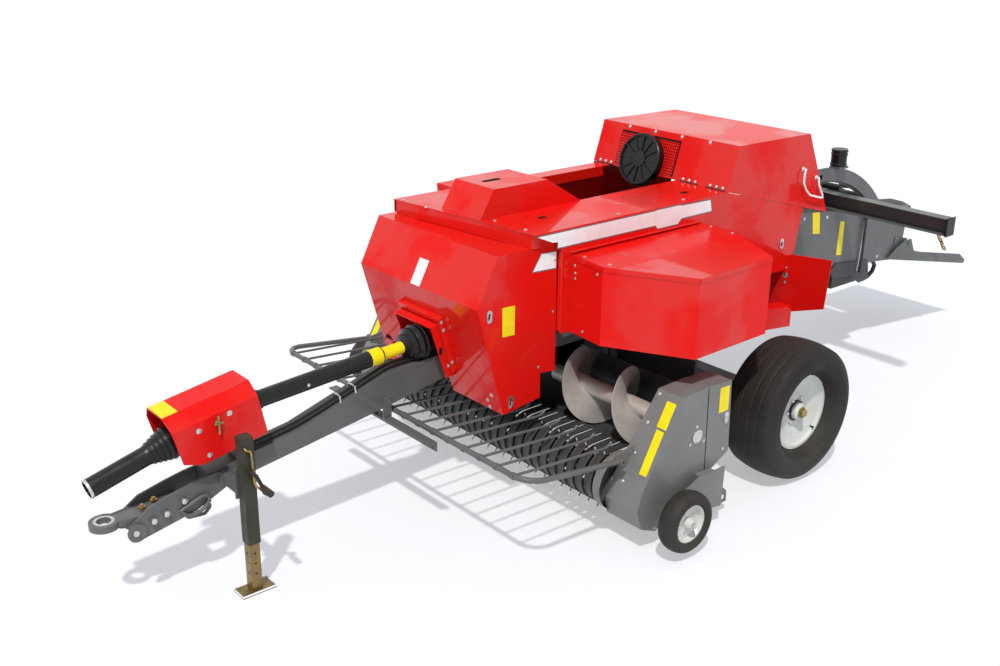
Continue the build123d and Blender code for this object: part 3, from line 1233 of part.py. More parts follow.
# Centring augers: core tube, helical flight and stub shaft
FLIGHT_SECTOR = 6
for side, name in ((1, "auger_left"), (-1, "auger_right")):
    with BuildPart() as auger:
        low, high = sorted((side * (AUGER_INNER - 10), side * AUGER_OUTER))
        cross_pin(AUGER_X, AUGER_Z, low, high, AUGER_CORE_RADIUS)
        low, high = sorted((side * AUGER_OUTER, side * (side_inner_y(AUGER_Z) + BORE_DEPTH - 5)))
        cross_pin(AUGER_X, AUGER_Z, low, high, AUGER_SHAFT_RADIUS)
        flight_start = (AUGER_X, side * AUGER_INNER, AUGER_Z)
        flight_base = Plane(origin=flight_start, x_dir=(1, 0, 0), z_dir=(0, side, 0))
        with BuildSketch(flight_base, mode=Mode.PRIVATE) as sector:
            with BuildLine():
                far = AUGER_RADIUS * 1.2
                wedge_y = far * tan(radians(FLIGHT_SECTOR))
                Polyline((0, 0), (far, 0), (far, wedge_y), close=True)
            make_face()
            Circle(AUGER_RADIUS, mode=Mode.INTERSECT)
            Circle(AUGER_CORE_RADIUS - 2, mode=Mode.SUBTRACT)
        turns = 360 * (AUGER_OUTER - AUGER_INNER) / AUGER_PITCH
        flight = Solid.extrude_linear_with_rotation(
            sector.sketch.faces()[0],
            center=(AUGER_X, side * AUGER_INNER, AUGER_Z),
            normal=(0, side * (AUGER_OUTER - AUGER_INNER), 0),
            angle=side * turns,
        )
        add(flight)
    save(auger.part, name)

# Windguard: bent tube with rods that run back over the reel
with BuildPart() as windguard:
    path_points = [
        (GUARD_PIVOT_X, GUARD_ARM_Y, GUARD_PIVOT_Z), (GUARD_TUBE_X, GUARD_ARM_Y, GUARD_TUBE_Z),
        (GUARD_TUBE_X, -GUARD_ARM_Y, GUARD_TUBE_Z), (GUARD_PIVOT_X, -GUARD_ARM_Y, GUARD_PIVOT_Z),
    ]
    with BuildLine() as guard_path:
        FilletPolyline(*path_points, radius=GUARD_BEND)
    with BuildSketch(Plane(origin=guard_path.line @ 0, z_dir=guard_path.line % 0)) as guard_section:
        Circle(GUARD_TUBE)
    sweep(guard_section.sketch, path=guard_path.line)
    rod_run = Vector(GUARD_ROD_REAR_X - GUARD_TUBE_X, 0, GUARD_ROD_REAR_Z - GUARD_TUBE_Z)
    with BuildSketch(Plane(origin=(GUARD_TUBE_X, 0, GUARD_TUBE_Z), x_dir=(0, 1, 0), z_dir=rod_run)) as rods:
        with GridLocations(GUARD_ROD_PITCH, 1, GUARD_RODS, 1):
            RegularPolygon(GUARD_ROD_RADIUS, 8)
    extrude(rods.sketch, amount=rod_run.length)
    for side in (1, -1):
        low, high = sorted((side * 1048.3, side * 1092))
        cross_pin(GUARD_PIVOT_X, GUARD_PIVOT_Z, low, high, 18)
        cross_pin(GUARD_PIVOT_X, GUARD_PIVOT_Z, low - 1, high + 1, 7 + RUNNING_GAP, Mode.SUBTRACT)
save(windguard.part, "windguard")

# Road wheels: dished steel rim and balloon tyre
for side, name in ((1, "left"), (-1, "right")):
    centre = (0, side * TRACK_HALF, TYRE_RADIUS)
    wheel_axis = Axis(centre, (0, 1, 0))
    wheel_plane = Plane(origin=centre, x_dir=(0, side, 0), z_dir=(side, 0, 0))
    with BuildPart() as rim:
        with BuildSketch(wheel_plane):
            with BuildLine():
                lip = BEAD_HALF_WIDTH + 6
                Polyline(
                    (-lip, BEAD_RADIUS + 8), (-BEAD_HALF_WIDTH, BEAD_RADIUS + 8),
                    (-BEAD_HALF_WIDTH, BEAD_RADIUS), (BEAD_HALF_WIDTH, BEAD_RADIUS),
                    (BEAD_HALF_WIDTH, BEAD_RADIUS + 8), (lip, BEAD_RADIUS + 8),
                    (lip, BEAD_RADIUS - 8), (DISC_OFFSET + 30, BEAD_RADIUS - 22), (DISC_OFFSET + 14, 110),
                    (DISC_OFFSET + 8, 90), (DISC_OFFSET + 8, HUB_RADIUS), (HUB_OUTER - 12, HUB_RADIUS),
                    (HUB_OUTER, HUB_RADIUS - 14), (HUB_OUTER, 0), (70, 0), (70, SPINDLE_RADIUS + RUNNING_GAP),
                    (-60, SPINDLE_RADIUS + RUNNING_GAP), (-60, HUB_RADIUS), (DISC_OFFSET, HUB_RADIUS),
                    (DISC_OFFSET, 92), (DISC_OFFSET + 6, 112), (DISC_OFFSET + 20, BEAD_RADIUS - 14),
                    (-lip, BEAD_RADIUS - 8),
                    close=True,
                )
            make_face()
        revolve(axis=wheel_axis)
    save(rim.part, f"wheel_rim_{name}")
    with BuildPart() as tyre:
        with BuildSketch(wheel_plane):
            with BuildLine():
                bead_y = BEAD_HALF_WIDTH + 7
                notch_r = BEAD_RADIUS + 8 + SEAT_GAP
                shoulder = (TYRE_HALF_WIDTH - 42, TYRE_RADIUS - 14)
                Line((-BEAD_HALF_WIDTH + SEAT_GAP, BEAD_RADIUS), (BEAD_HALF_WIDTH - SEAT_GAP, BEAD_RADIUS))
                Line((BEAD_HALF_WIDTH - SEAT_GAP, BEAD_RADIUS), (BEAD_HALF_WIDTH - SEAT_GAP, notch_r))
                Line((BEAD_HALF_WIDTH - SEAT_GAP, notch_r), (bead_y, notch_r))
                ThreePointArc((bead_y, notch_r), (TYRE_HALF_WIDTH, 300), shoulder)
                ThreePointArc(shoulder, (0, TYRE_RADIUS), (-shoulder[0], shoulder[1]))
                ThreePointArc((-shoulder[0], shoulder[1]), (-TYRE_HALF_WIDTH, 300), (-bead_y, notch_r))
                Line((-bead_y, notch_r), (-BEAD_HALF_WIDTH + SEAT_GAP, notch_r))
                Line((-BEAD_HALF_WIDTH + SEAT_GAP, notch_r), (-BEAD_HALF_WIDTH + SEAT_GAP, BEAD_RADIUS))
            make_face()
        revolve(axis=wheel_axis)
    save(tyre.part, f"tyre_{name}")

# Gauge wheels: small disc rims with narrow tyres
for side, name in ((1, "left"), (-1, "right")):
    centre = (GAUGE_X, side * GAUGE_Y, GAUGE_Z)
    wheel_axis = Axis(centre, (0, 1, 0))
    wheel_plane = Plane(origin=centre, x_dir=(0, side, 0), z_dir=(side, 0, 0))
    pin = GAUGE_PIN_RADIUS + RUNNING_GAP
    with BuildPart() as gauge_rim:
        with BuildSketch(wheel_plane):
            with BuildLine():
                Polyline(
                    (-36, pin), (46, pin), (46, 0), (52, 0), (52, 20), (30, 28), (14, 30), (14, 78), (36, 90),
                    (36, GAUGE_RIM_RADIUS), (-36, GAUGE_RIM_RADIUS), (-36, 90), (4, 78), (4, 26), (-36, 26),
                    close=True,
                )
            make_face()
        revolve(axis=wheel_axis)
    save(gauge_rim.part, f"gauge_rim_{name}")
    with BuildPart() as gauge_tyre:
        with BuildSketch(wheel_plane):
            with BuildLine():
                half = GAUGE_HALF_WIDTH
                Line((-36, GAUGE_RIM_RADIUS), (36, GAUGE_RIM_RADIUS))
                ThreePointArc((36, GAUGE_RIM_RADIUS), (half, 125), (half - 14, GAUGE_RADIUS - 10))
                shoulder = GAUGE_RADIUS - 10
                ThreePointArc((half - 14, shoulder), (0, GAUGE_RADIUS), (14 - half, shoulder))
                ThreePointArc((14 - half, GAUGE_RADIUS - 10), (-half, 125), (-36, GAUGE_RIM_RADIUS))
            make_face()
        revolve(axis=wheel_axis)
    save(gauge_tyre.part, f"gauge_tyre_{name}")
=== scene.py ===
"""Finishes the small square baler: paint, rubber, steel, fasteners, labels, light and camera.

Lengths are in metres. Places are written as on the machine itself: x forward from the axle,
y to the left of the middle, z up from the ground; at() turns them into the part's own frame.
"""
from math import atan2, cos, radians, sin, tau

import bmesh
import bpy
from mathutils import Euler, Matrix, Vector


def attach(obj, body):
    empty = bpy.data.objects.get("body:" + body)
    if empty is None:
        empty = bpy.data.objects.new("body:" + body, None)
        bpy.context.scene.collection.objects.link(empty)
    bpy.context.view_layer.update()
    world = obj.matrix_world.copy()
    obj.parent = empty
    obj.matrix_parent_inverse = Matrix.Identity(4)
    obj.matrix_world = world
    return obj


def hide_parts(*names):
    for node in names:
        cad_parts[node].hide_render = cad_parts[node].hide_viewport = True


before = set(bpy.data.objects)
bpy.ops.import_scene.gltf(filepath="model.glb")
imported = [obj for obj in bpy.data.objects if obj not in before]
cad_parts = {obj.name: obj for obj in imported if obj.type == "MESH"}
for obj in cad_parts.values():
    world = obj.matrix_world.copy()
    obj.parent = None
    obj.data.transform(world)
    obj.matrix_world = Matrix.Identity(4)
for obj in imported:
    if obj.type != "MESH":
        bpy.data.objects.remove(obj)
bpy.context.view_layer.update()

LEFT, UP, FORWARD = Vector((0, 1, 0)), Vector((0, 0, 1)), Vector((1, 0, 0))
SIDES = ((1, "left"), (-1, "right"))
AXLE_X = -0.216


def at(x, y, z):
    """Place on the machine, measured from the ground under the axle."""
    return Vector((x + AXLE_X, y, z))


REEL = at(1.205, 0, 0.290)

# Finishes

RELIEF_DEPTH = 0.0006
LACQUER_ROUGHNESS = 0.04
FIELD_DUST = "#9a9184"


def linear(hex_colour):
    """Linear colour of an sRGB hex value."""
    channels = [int(hex_colour[i:i + 2], 16) / 255 for i in (1, 3, 5)]
    return tuple(c / 12.92 if c <= 0.04045 else ((c + 0.055) / 1.055) ** 2.4 for c in channels) + (1.0,)


def per_metre(size_mm):
    """Scale of a pattern whose features are size_mm apart."""
    return 1000 / size_mm


def empty_tree(owner):
    """Node tree of a new material or world, without nodes."""
    owner.use_nodes = True
    owner.node_tree.nodes.clear()
    return owner.node_tree


def add(tree, kind, settings=(), links=()):
    """Adds a shader node, sets its properties and sockets, and joins its sockets to other nodes."""
    node = tree.nodes.new(f"ShaderNode{kind}")
    for key, value in dict(settings).items():
        if isinstance(key, str) and hasattr(node, key):
            setattr(node, key, value)
        else:
            node.inputs[key].default_value = value
    for key, (source, output) in dict(links).items():
        tree.links.new(source.outputs[output], node.inputs[key])
    return node


def spread_over(tree, source, low, high, start=0.35, end=0.68, output=0):
    """Turns a pattern's values from start to end into values from low to high, with soft borders."""
    return add(tree, "MapRange", {
        "interpolation_type": "SMOOTHSTEP", "From Min": start, "From Max": end, "To Min": low, "To Max": high,
    }, {"Value": (source, output)})


def finish(name, colour, second, patch_mm, grain_mm, relief, roughness, spread, metallic=0.0,
           coat=(0.0, 0.0), edge_mm=0.0, dust=0.0, ior=1.5, stretch=(1, 1, 1)):
    """A surface: two tones in patches, a fine grain in relief, uneven gloss, and dust low down."""
    material = bpy.data.materials.new(name)
    tree = empty_tree(material)
    place = add(tree, "TexCoord")
    scaled = add(tree, "Mapping", {"Scale": stretch}, {"Vector": (place, "Object")})
    patches = add(tree, "TexNoise", {"Scale": per_metre(patch_mm), "Detail": 4.0, "Roughness": 0.55},
                  {"Vector": (scaled, 0)})
    grain = add(tree, "TexNoise", {"Scale": per_metre(grain_mm), "Detail": 2.0},
                {"Vector": (scaled, 0)})
    tone = spread_over(tree, patches, 0.0, 1.0)
    colours = add(tree, "Mix", {"data_type": "RGBA", 6: linear(colour), 7: linear(second)},
                  {0: (tone, 0)})
    colour_from = (colours, 2)
    if dust:
        height = add(tree, "SeparateXYZ", {}, {0: (place, "Object")})
        low = spread_over(tree, height, 0.0, dust, 0.75, 0.05, 2)
        speckle = add(tree, "Math", {"operation": "MULTIPLY"}, {0: (low, 0), 1: (patches, 0)})
        dusty = add(tree, "Mix", {"data_type": "RGBA", 7: linear(FIELD_DUST)},
                    {0: (speckle, 0), 6: (colours, 2)})
        colour_from = (dusty, 2)
    gloss = spread_over(tree, patches, roughness, roughness + spread)
    lacquer = spread_over(tree, patches, coat[0], coat[1], 0.42, 0.60)
    links = {"Height": (grain, 0)}
    if edge_mm:
        links["Normal"] = (add(tree, "Bevel", {"samples": 4, "Radius": edge_mm / 1000}), 0)
    bump = add(tree, "Bump", {"Strength": relief, "Distance": RELIEF_DEPTH}, links)
    shader = add(
        tree, "BsdfPrincipled", {"Metallic": metallic, "IOR": ior, "Coat Roughness": LACQUER_ROUGHNESS},
        {"Base Color": colour_from, "Roughness": (gloss, 0), "Normal": (bump, 0), "Coat Weight": (lacquer, 0)},
    )
    add(tree, "OutputMaterial", {}, {"Surface": (shader, 0)})
    return material


def wear_bright(material, centre, start, end, bright):
    """Lays a bright tone on all that lies further than start from a cross axis through centre."""
    tree = material.node_tree
    shader = next(node for node in tree.nodes if node.type == "BSDF_PRINCIPLED")
    below = shader.inputs["Base Color"].links[0].from_socket
    place = add(tree, "TexCoord")
    away = add(tree, "VectorMath", {"operation": "SUBTRACT", 1: centre}, {0: (place, "Object")})
    flat = add(tree, "VectorMath", {"operation": "MULTIPLY", 1: (1, 0, 1)}, {0: (away, 0)})
    reach = add(tree, "VectorMath", {"operation": "LENGTH"}, {0: (flat, 0)})
    share = spread_over(tree, reach, 0.0, 1.0, start, end, "Value")
    worn = add(tree, "Mix", {"data_type": "RGBA", 7: linear(bright)}, {0: (share, 0)})
    tree.links.new(below, worn.inputs[6])
    tree.links.new(worn.outputs[2], shader.inputs["Base Color"])


# Powder-coated sheet steel: warm red with cloudy gloss under a thin clear lacquer
RED = finish("red_powder_coat", "#e01513", "#d51a0d", 420, 5, 0.03, 0.24, 0.08, coat=(0.05, 0.58), edge_mm=3,
             ior=1.17)
# Frame enamel, dark grey and half gloss
GREY = finish("dark_grey_frame_enamel", "#5c5e5d", "#525453", 260, 3, 0.08, 0.38, 0.14, coat=(0.15, 0.3),
              edge_mm=2.5, dust=0.3, ior=1.4)
# The grey frame enamel made lighter on the pickup's side boxes and the reel's end drums: painted light, which
# makes up for the shade that falls on them
GREY_WITH_PAINTED_LIGHT = finish("grey_enamel_with_painted_light", "#747573", "#6b6c6a", 260, 3, 0.08, 0.38, 0.14, coat=(0.15, 0.3),
              edge_mm=2.5, dust=0.2, ior=1.4)
# Charcoal enamel: the pickup's own dark colour, and painted shade on the parts that lie in the shade under the
# body
CHARCOAL_AND_PAINTED_SHADE = finish("charcoal_enamel_and_painted_shade", "#2f3234", "#282b2d", 200, 3, 0.10, 0.40, 0.15, coat=(0.05, 0.2),
              edge_mm=1.5, dust=0.15, ior=1.4)
# Olive-brown enamel of the stand's tube
OLIVE = finish("olive_brown_enamel", "#38372d", "#312f27", 160, 3, 0.10, 0.42, 0.15, edge_mm=2, ior=1.35)
# Enamelled wheel steel, off-white, glossy
RIM = finish("off_white_wheel_enamel", "#cfd1ca", "#c4c6be", 160, 4, 0.05, 0.28, 0.12, coat=(0.1, 0.3),
             edge_mm=2, dust=0.15, ior=1.4)
# Natural rubber tyre with carbon black: dull, slightly brown
TYRE = finish("dull_tyre_rubber", "#1e1d1b", "#252321", 90, 2, 0.30, 0.60, 0.18, dust=0.12, ior=1.33)
# Moulded polyethylene guard tubes: black with a soft shine
BLACK = finish("black_polyethylene_guard", "#0d0e0f", "#131415", 70, 2, 0.06, 0.26, 0.12, ior=1.4)
# Extruded rubber hose
HOSE = finish("black_hose_rubber", "#141414", "#1b1b1b", 40, 1.5, 0.2, 0.45, 0.15, ior=1.4)
# Yellow chromate on zinc plate: gold with green and pink patches
GOLD_ZINC = finish("yellow_zinc_plate", "#b3925a", "#8e8a60", 45, 2, 0.08, 0.30, 0.18, metallic=1.0)
# The same plate gone brown on the stand's leg
BROWN_ZINC = finish("browned_zinc_plate", "#8f7748", "#7c6f52", 60, 2, 0.10, 0.34, 0.18, metallic=0.8)
# Clear zinc plate on fasteners: bright, slightly dull
ZINC = finish("clear_zinc_plate", "#d2d2cf", "#bfc1c3", 12, 1.5, 0.08, 0.26, 0.14, metallic=1.0)
# Rolled steel flighting, warm grey, matt but for streaks polished by hay
FLIGHT = finish("hay_worn_flighting", "#c3beb7", "#b0aaa3", 70, 2, 0.10, 0.30, 0.22, metallic=0.35,
                stretch=(1, 0.2, 1), ior=1.4)
# Spring wire of the tines, dark but for the tips
WIRE = finish("dark_spring_wire", "#303233", "#292b2c", 25, 1.5, 0.10, 0.55, 0.18, ior=1.2)
# Turned shaft steel
STEEL = finish("turned_shaft_steel", "#a9a9a6", "#8c8c8b", 25, 1.5, 0.10, 0.32, 0.18, metallic=1.0)
# Vinyl labels without print
YELLOW = finish("yellow_vinyl_label", "#f2dc10", "#ebd30d", 60, 2, 0.04, 0.36, 0.10, ior=1.35)
WHITE = finish("white_vinyl_label", "#f0f2f0", "#e8eae8", 60, 2, 0.04, 0.48, 0.10, ior=1.3)
OUTLINE = finish("grey_vinyl_outline", "#6d7072", "#64676a", 60, 2, 0.04, 0.40, 0.10, ior=1.35)
# Inside of a hole, which the light hardly reaches
HOLE = finish("shaded_recess", "#0d0c0c", "#141212", 20, 1.5, 0.05, 0.75, 0.10, ior=1.2)
# Red tail lamp lens of ribbed acrylic
LENS = finish("ribbed_red_acrylic", "#6d0a0a", "#7c0d0c", 20, 2, 0.05, 0.15, 0.08, coat=(0.4, 0.6))

TINE_WEAR_START, TINE_WEAR_END = 0.156, 0.166
wear_bright(WIRE, REEL, TINE_WEAR_START, TINE_WEAR_END, "#d6d3cc")


def both(*names):
    """The left and the right node of each name."""
    return [f"{name}_{word}" for name in names for _, word in SIDES]


NODE_FINISH = {
    RED: ["front_shield", "deck", "hatch", "rear_wing", "front_cover", "guard_box", "hood",
          *both("side_panel", "rear_side_panel", "twine_box", "twine_lid")],
    GREY: ["main_frame", "axle", "bale_chamber", "tongue", "hitch_plates", "drawbar_eye", "crossbar",
           "jack_bracket", "shaft_bearing", "lamp_beam", "density_frame", "chute", "plunger", "windguard"],
    # The lighter grey on the pickup's side boxes is painted light
    GREY_WITH_PAINTED_LIGHT: both("pickup_side"),
    # The charcoal is the pickup's own colour, and painted shade on the parts under the body
    CHARCOAL_AND_PAINTED_SHADE: ["feeder_duct", "gearbox", "knotters", "needle_frame", "pickup_frame", "stripper_bands"],
    OLIVE: ["jack_tube"],
    RIM: both("wheel_rim", "gauge_rim"),
    TYRE: both("tyre", "gauge_tyre"),
    BLACK: ["drive_guard", "front_guard", "fan_guard", "fan_rotor", "canister"],
    HOSE: ["hoses"],
    BROWN_ZINC: ["jack_leg"],
    GOLD_ZINC: ["chute_chain"],
    FLIGHT: both("auger"),
    WIRE: ["tine_reel"],
    STEEL: ["drive_shaft", "front_shaft"],
}
for material, names in NODE_FINISH.items():
    for name in names:
        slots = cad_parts[name].data.materials
        slots.clear()
        slots.append(material)

# Shapes, each a list of points and a list of faces

# Thickness of labels and dark inlays
INLAY = 0.0008
SKIN = LEFT * INLAY
# Fasteners: radius and height of the head
BIG_SCREW, SCREW, SMALL_SCREW = (0.008, 0.006), (0.007, 0.005), (0.006, 0.005)


def spoke(turn):
    """Direction in the machine's upright plane at an angle from forward."""
    return FORWARD * cos(turn) + UP * sin(turn)


def slope(low, high):
    """Direction up a slope between two (x, z) points, and the direction that it faces."""
    rise = Vector((high[0] - low[0], 0, high[1] - low[1])).normalized()
    return rise, Vector((rise.z, 0, -rise.x))


def circle(centre, first, second, radius, count):
    """Points on the circle that two directions span."""
    turns = [tau * step / count for step in range(count)]
    return [centre + (first * cos(turn) + second * sin(turn)) * radius for turn in turns]


def lathe(profile, centre, axis, count=32):
    """Turns (radius, distance along the axis) points about an axis through centre."""
    along = axis.normalized()
    side = along.orthogonal().normalized()
    across = along.cross(side)
    points, faces = [], []
    for radius, distance in profile:
        points += circle(centre + along * distance, side, across, radius, count)
    for ring in range(len(profile) - 1):
        for step in range(count):
            a, b = ring * count + step, ring * count + (step + 1) % count
            faces.append((a, b, b + count, a + count))
    return points, faces


def tube(path, radius, count=10, closed=False):
    """Round bar that follows the points of a path."""
    path = [Vector(p) for p in path]
    last = len(path) - 1
    points, faces = [], []
    side = (path[1] - path[0]).normalized().orthogonal().normalized()
    for number, centre in enumerate(path):
        before = path[number - 1] if number or closed else path[0]
        after = path[(number + 1) % (last + 1)] if number < last or closed else path[last]
        along = (after - before).normalized()
        side = (side - along * side.dot(along)).normalized()
        points += circle(centre, side, along.cross(side), radius, count)
    for ring in range(last + 1 if closed else last):
        following = (ring + 1) % (last + 1)
        for step in range(count):
            a, b = step, (step + 1) % count
            faces.append((ring * count + a, ring * count + b, following * count + b, following * count + a))
    if not closed:
        faces.append(tuple(reversed(range(count))))
        faces.append(tuple(range(last * count, (last + 1) * count)))
    return points, faces


def plate(outline, thickness):
    """Flat sheet: the outline's points, and the same points moved by the thickness vector."""
    count = len(outline)
    points = [Vector(p) for p in outline] + [Vector(p) + thickness for p in outline]
    faces = [tuple(reversed(range(count))), tuple(range(count, 2 * count))]
    faces += [(i, (i + 1) % count, (i + 1) % count + count, i + count) for i in range(count)]
    return points, faces


def side_plate(outline, y, thickness):
    """Sheet of (x, z) points standing on the plane at y."""
    return plate([at(x, y, z) for x, z in outline], thickness)


def box(low, high):
    """Rectangular block between two corners."""
    (x0, y0, z0), (x1, y1, z1) = low, high
    return plate([at(x0, y0, z0), at(x1, y0, z0), at(x1, y1, z0), at(x0, y1, z0)], UP * (z1 - z0))


def slot_outline(centre, first, second, length, width, count=24):
    """Outline with round ends, longest along the first direction."""
    points = []
    for step in range(count):
        turn = tau * step / count
        shift = (length - width) / 2 * (1 if cos(turn) > 0 else -1)
        points.append(centre + first * (width / 2 * cos(turn) + shift) + second * (width / 2 * sin(turn)))
    return points


def slot_on(centre, first, second, normal, length, width, thickness=INLAY):
    """Dark elongated hole: a thin inlay with round ends."""
    return plate(slot_outline(centre, first, second, length, width), normal * thickness)


def joined(shapes):
    """Several shapes as one."""
    points, faces = [], []
    for more_points, more_faces in shapes:
        start = len(points)
        points += more_points
        faces += [tuple(index + start for index in face) for face in more_faces]
    return points, faces


def bolt(centre, normal, radius, height):
    """Washer and rounded head, seen from outside."""
    washer = [(0, 0), (radius * 1.5, 0), (radius * 1.5, height * 0.2), (radius, height * 0.22)]
    head = [(radius, height * 0.7), (radius * 0.8, height * 0.92), (radius * 0.4, height), (0, height)]
    return lathe(washer + head, centre, normal, 12)


def bolt_circle(centre, reach, count, outward, radius, height):
    """Bolts spread evenly round a hub."""
    turns = [tau * number / count for number in range(count)]
    return [bolt(centre + spoke(turn) * reach, outward, radius, height) for turn in turns]


def side_bolts(places, y, radius, height, sides=(1, -1)):
    """Bolts at (x, z) places on upright faces that lie y to the left, to the right, or both."""
    return [bolt(at(x, side * y, z), LEFT * side, radius, height) for side in sides for x, z in places]


def placed(name, data):
    """New object in the scene."""
    made = bpy.data.objects.new(name, data)
    bpy.context.scene.collection.objects.link(made)
    return made


def piece(name, shape, material, body="frame", bevel=0.0, replaces=()):
    """Makes a mesh of a shape, or of a list of shapes, and lets it ride on a body of the machine."""
    points, faces = joined(shape) if isinstance(shape, list) else shape
    mesh = bpy.data.meshes.new(name)
    mesh.from_pydata([tuple(p) for p in points], [], faces)
    mesh.validate()
    work = bmesh.new()
    work.from_mesh(mesh)
    bmesh.ops.remove_doubles(work, verts=work.verts, dist=1e-6)
    bmesh.ops.recalc_face_normals(work, faces=work.faces)
    work.to_mesh(mesh)
    work.free()
    mesh.shade_smooth()
    mesh.set_sharp_from_angle(angle=radians(32))
    mesh.materials.append(material)
    made = placed(name, mesh)
    if bevel:
        edge = made.modifiers.new("rounded_edges", "BEVEL")
        edge.width = bevel
        edge.segments = 2
        edge.limit_method = "ANGLE"
    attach(made, body)
    for node in replaces:
        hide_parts(node)
    return made


# Road wheels: tyres with thin tread grooves, bolted hubs

WHEEL_Y, WHEEL_Z = 1.077, 0.39
TYRE_CROWN, TYRE_SHOULDER, TREAD_HALF, TREAD_STEPS = 0.3898, 0.374, 0.128, 40
GROOVES, GROOVE_HALF, GROOVE_DEPTH = (-0.082, -0.03, 0.03, 0.082), 0.0034, 0.003
TYRE_FLANK = [
    (0.213, 0.088), (0.222, 0.105), (0.238, 0.130), (0.262, 0.154), (0.288, 0.167), (0.308, 0.1695),
    (0.328, 0.166), (0.350, 0.155), (0.366, 0.141),
]
SIDE_RINGS, SIDE_RING_HALF, SIDE_RING_LIFT = ((0.232, 0.1225), (0.246, 0.1395), (0.297, 0.1677)), 0.0015, 0.0016
HUB_NUT = [(0, 0.094), (0.034, 0.094), (0.036, 0.096), (0.036, 0.099), (0.026, 0.100), (0.026, 0.114),
           (0.022, 0.118), (0, 0.118)]
HUB_RING = [(0.034, 0.066), (0.044, 0.066), (0.049, 0.062), (0.060, 0.060), (0.060, 0.052)]
VALVE = [(0, 0), (0.008, 0), (0.007, 0.014), (0.004, 0.018), (0.004, 0.034), (0.0055, 0.036), (0.0055, 0.044),
         (0, 0.044)]

# Gauge wheels: smooth narrow tyres, small nuts
GAUGE_X, GAUGE_Y, GAUGE_Z = 1.124, 1.343, 0.197
GAUGE_FLANK = [
    (0.0985, 0.037), (0.102, 0.044), (0.112, 0.051), (0.124, 0.0535), (0.138, 0.050), (0.147, 0.042),
    (0.1525, 0.030), (0.1555, 0.016), (0.1568, 0.010), (0.1548, 0.008), (0.1548, 0.005), (0.1570, 0.003),
]
GAUGE_NUT = [(0, 0.052), (0.015, 0.052), (0.015, 0.060), (0.011, 0.063), (0.011, 0.066), (0, 0.066)]


def tread():
    """Points across the crown, sunk at the grooves."""
    points = []
    for step in range(TREAD_STEPS + 1):
        place = TREAD_HALF * (1 - 2 * step / TREAD_STEPS)
        radius = TYRE_SHOULDER + (TYRE_CROWN - TYRE_SHOULDER) * (1 - (place / TREAD_HALF) ** 2)
        in_groove = min(abs(place - groove) for groove in GROOVES) < GROOVE_HALF
        points.append((radius - GROOVE_DEPTH if in_groove else radius, place))
    return points


def mirrored(flank, middle=()):
    """From the outer bead over the tread to the inner bead: (radius, distance) points."""
    return flank + list(middle) + [(radius, -distance) for radius, distance in reversed(flank)]


for side, word in SIDES:
    outward = LEFT * side
    wheel, hub = f"wheel_{word}", at(0, side * WHEEL_Y, WHEEL_Z)
    piece(f"tyre_tread_{word}", lathe(mirrored(TYRE_FLANK, tread()), hub, outward, 96), TYRE, wheel,
          replaces=[f"tyre_{word}"])
    side_rings = [
        lathe([(r - SIDE_RING_HALF, d), (r, d + SIDE_RING_LIFT), (r + SIDE_RING_HALF, d)], hub, outward, 96)
        for r, d in SIDE_RINGS
    ]
    piece(f"tyre_side_rings_{word}", side_rings, TYRE, wheel)
    studs = bolt_circle(hub + outward * 0.053, 0.074, 6, outward, 0.010, 0.012)
    piece(f"wheel_studs_{word}", studs, ZINC, wheel)
    piece(f"hub_nut_{word}", lathe(HUB_NUT, hub, outward, 6), GOLD_ZINC, wheel, bevel=0.001)
    piece(f"hub_ring_{word}", lathe(HUB_RING, hub, outward, 40), BLACK, wheel)
    stem = hub + Vector((-0.128, 0, -0.126)) + outward * 0.052
    piece(f"valve_{word}", lathe(VALVE, stem, outward, 14), BLACK, wheel)
    gauge, gauge_hub = f"gauge_{word}", at(GAUGE_X, side * GAUGE_Y, GAUGE_Z)
    piece(f"gauge_tread_{word}", lathe(mirrored(GAUGE_FLANK), gauge_hub, outward, 64), TYRE, gauge,
          replaces=[f"gauge_tyre_{word}"])
    gauge_bolts = [lathe(GAUGE_NUT, gauge_hub, outward, 6)]
    gauge_bolts += bolt_circle(gauge_hub + outward * 0.014, 0.052, 5, outward, 0.006, 0.006)
    piece(f"gauge_bolts_{word}", gauge_bolts, ZINC, gauge, bevel=0.0005)

# Body: stripe along the side panel

PANEL_Y = 0.528
STRIPE_TOP = 1.484
STRIPE_EDGE = 0.006
stripe = [
    (1.390, 1.482), (0.563, 1.481), (0.539, 1.500), (0.368, 1.498), (0.340, 1.478), (0.114, 1.474),
    (0.099, 1.399), (0.345, 1.397), (0.373, 1.371), (0.529, 1.371), (0.548, 1.391), (1.256, 1.395),
    (1.256, 1.436), (1.292, 1.440),
]
stripe = [(x, min(z, STRIPE_TOP)) for x, z in stripe]


def inset(outline, by):
    """Outline of (x, z) points, drawn in towards its middle by a small distance."""
    middle_x = sum(x for x, z in outline) / len(outline)
    middle_z = sum(z for x, z in outline) / len(outline)
    return [(x - by if x > middle_x else x + by, z - by if z > middle_z else z + by) for x, z in outline]


piece("stripe_edge", side_plate(stripe, PANEL_Y, SKIN), OUTLINE)
piece("stripe", side_plate(inset(stripe, STRIPE_EDGE), PANEL_Y + INLAY, SKIN), WHITE)

# Front cover: flag, labels, latches and screws

COVER_Y = 0.495
COVER_FOOT, COVER_NOSE, COVER_TOP = (1.560, 0.580), (1.728, 1.167), (1.604, 1.412)
COVER_LEAN = (COVER_NOSE[0] - COVER_FOOT[0]) / (COVER_NOSE[1] - COVER_FOOT[1])
lower_up, lower_out = slope(COVER_FOOT, COVER_NOSE)
_, upper_out = slope(COVER_NOSE, COVER_TOP)


def on_cover(y, z):
    """Point on the cover's lower slope."""
    return at(COVER_FOOT[0] + (z - COVER_FOOT[1]) * COVER_LEAN, y, z)


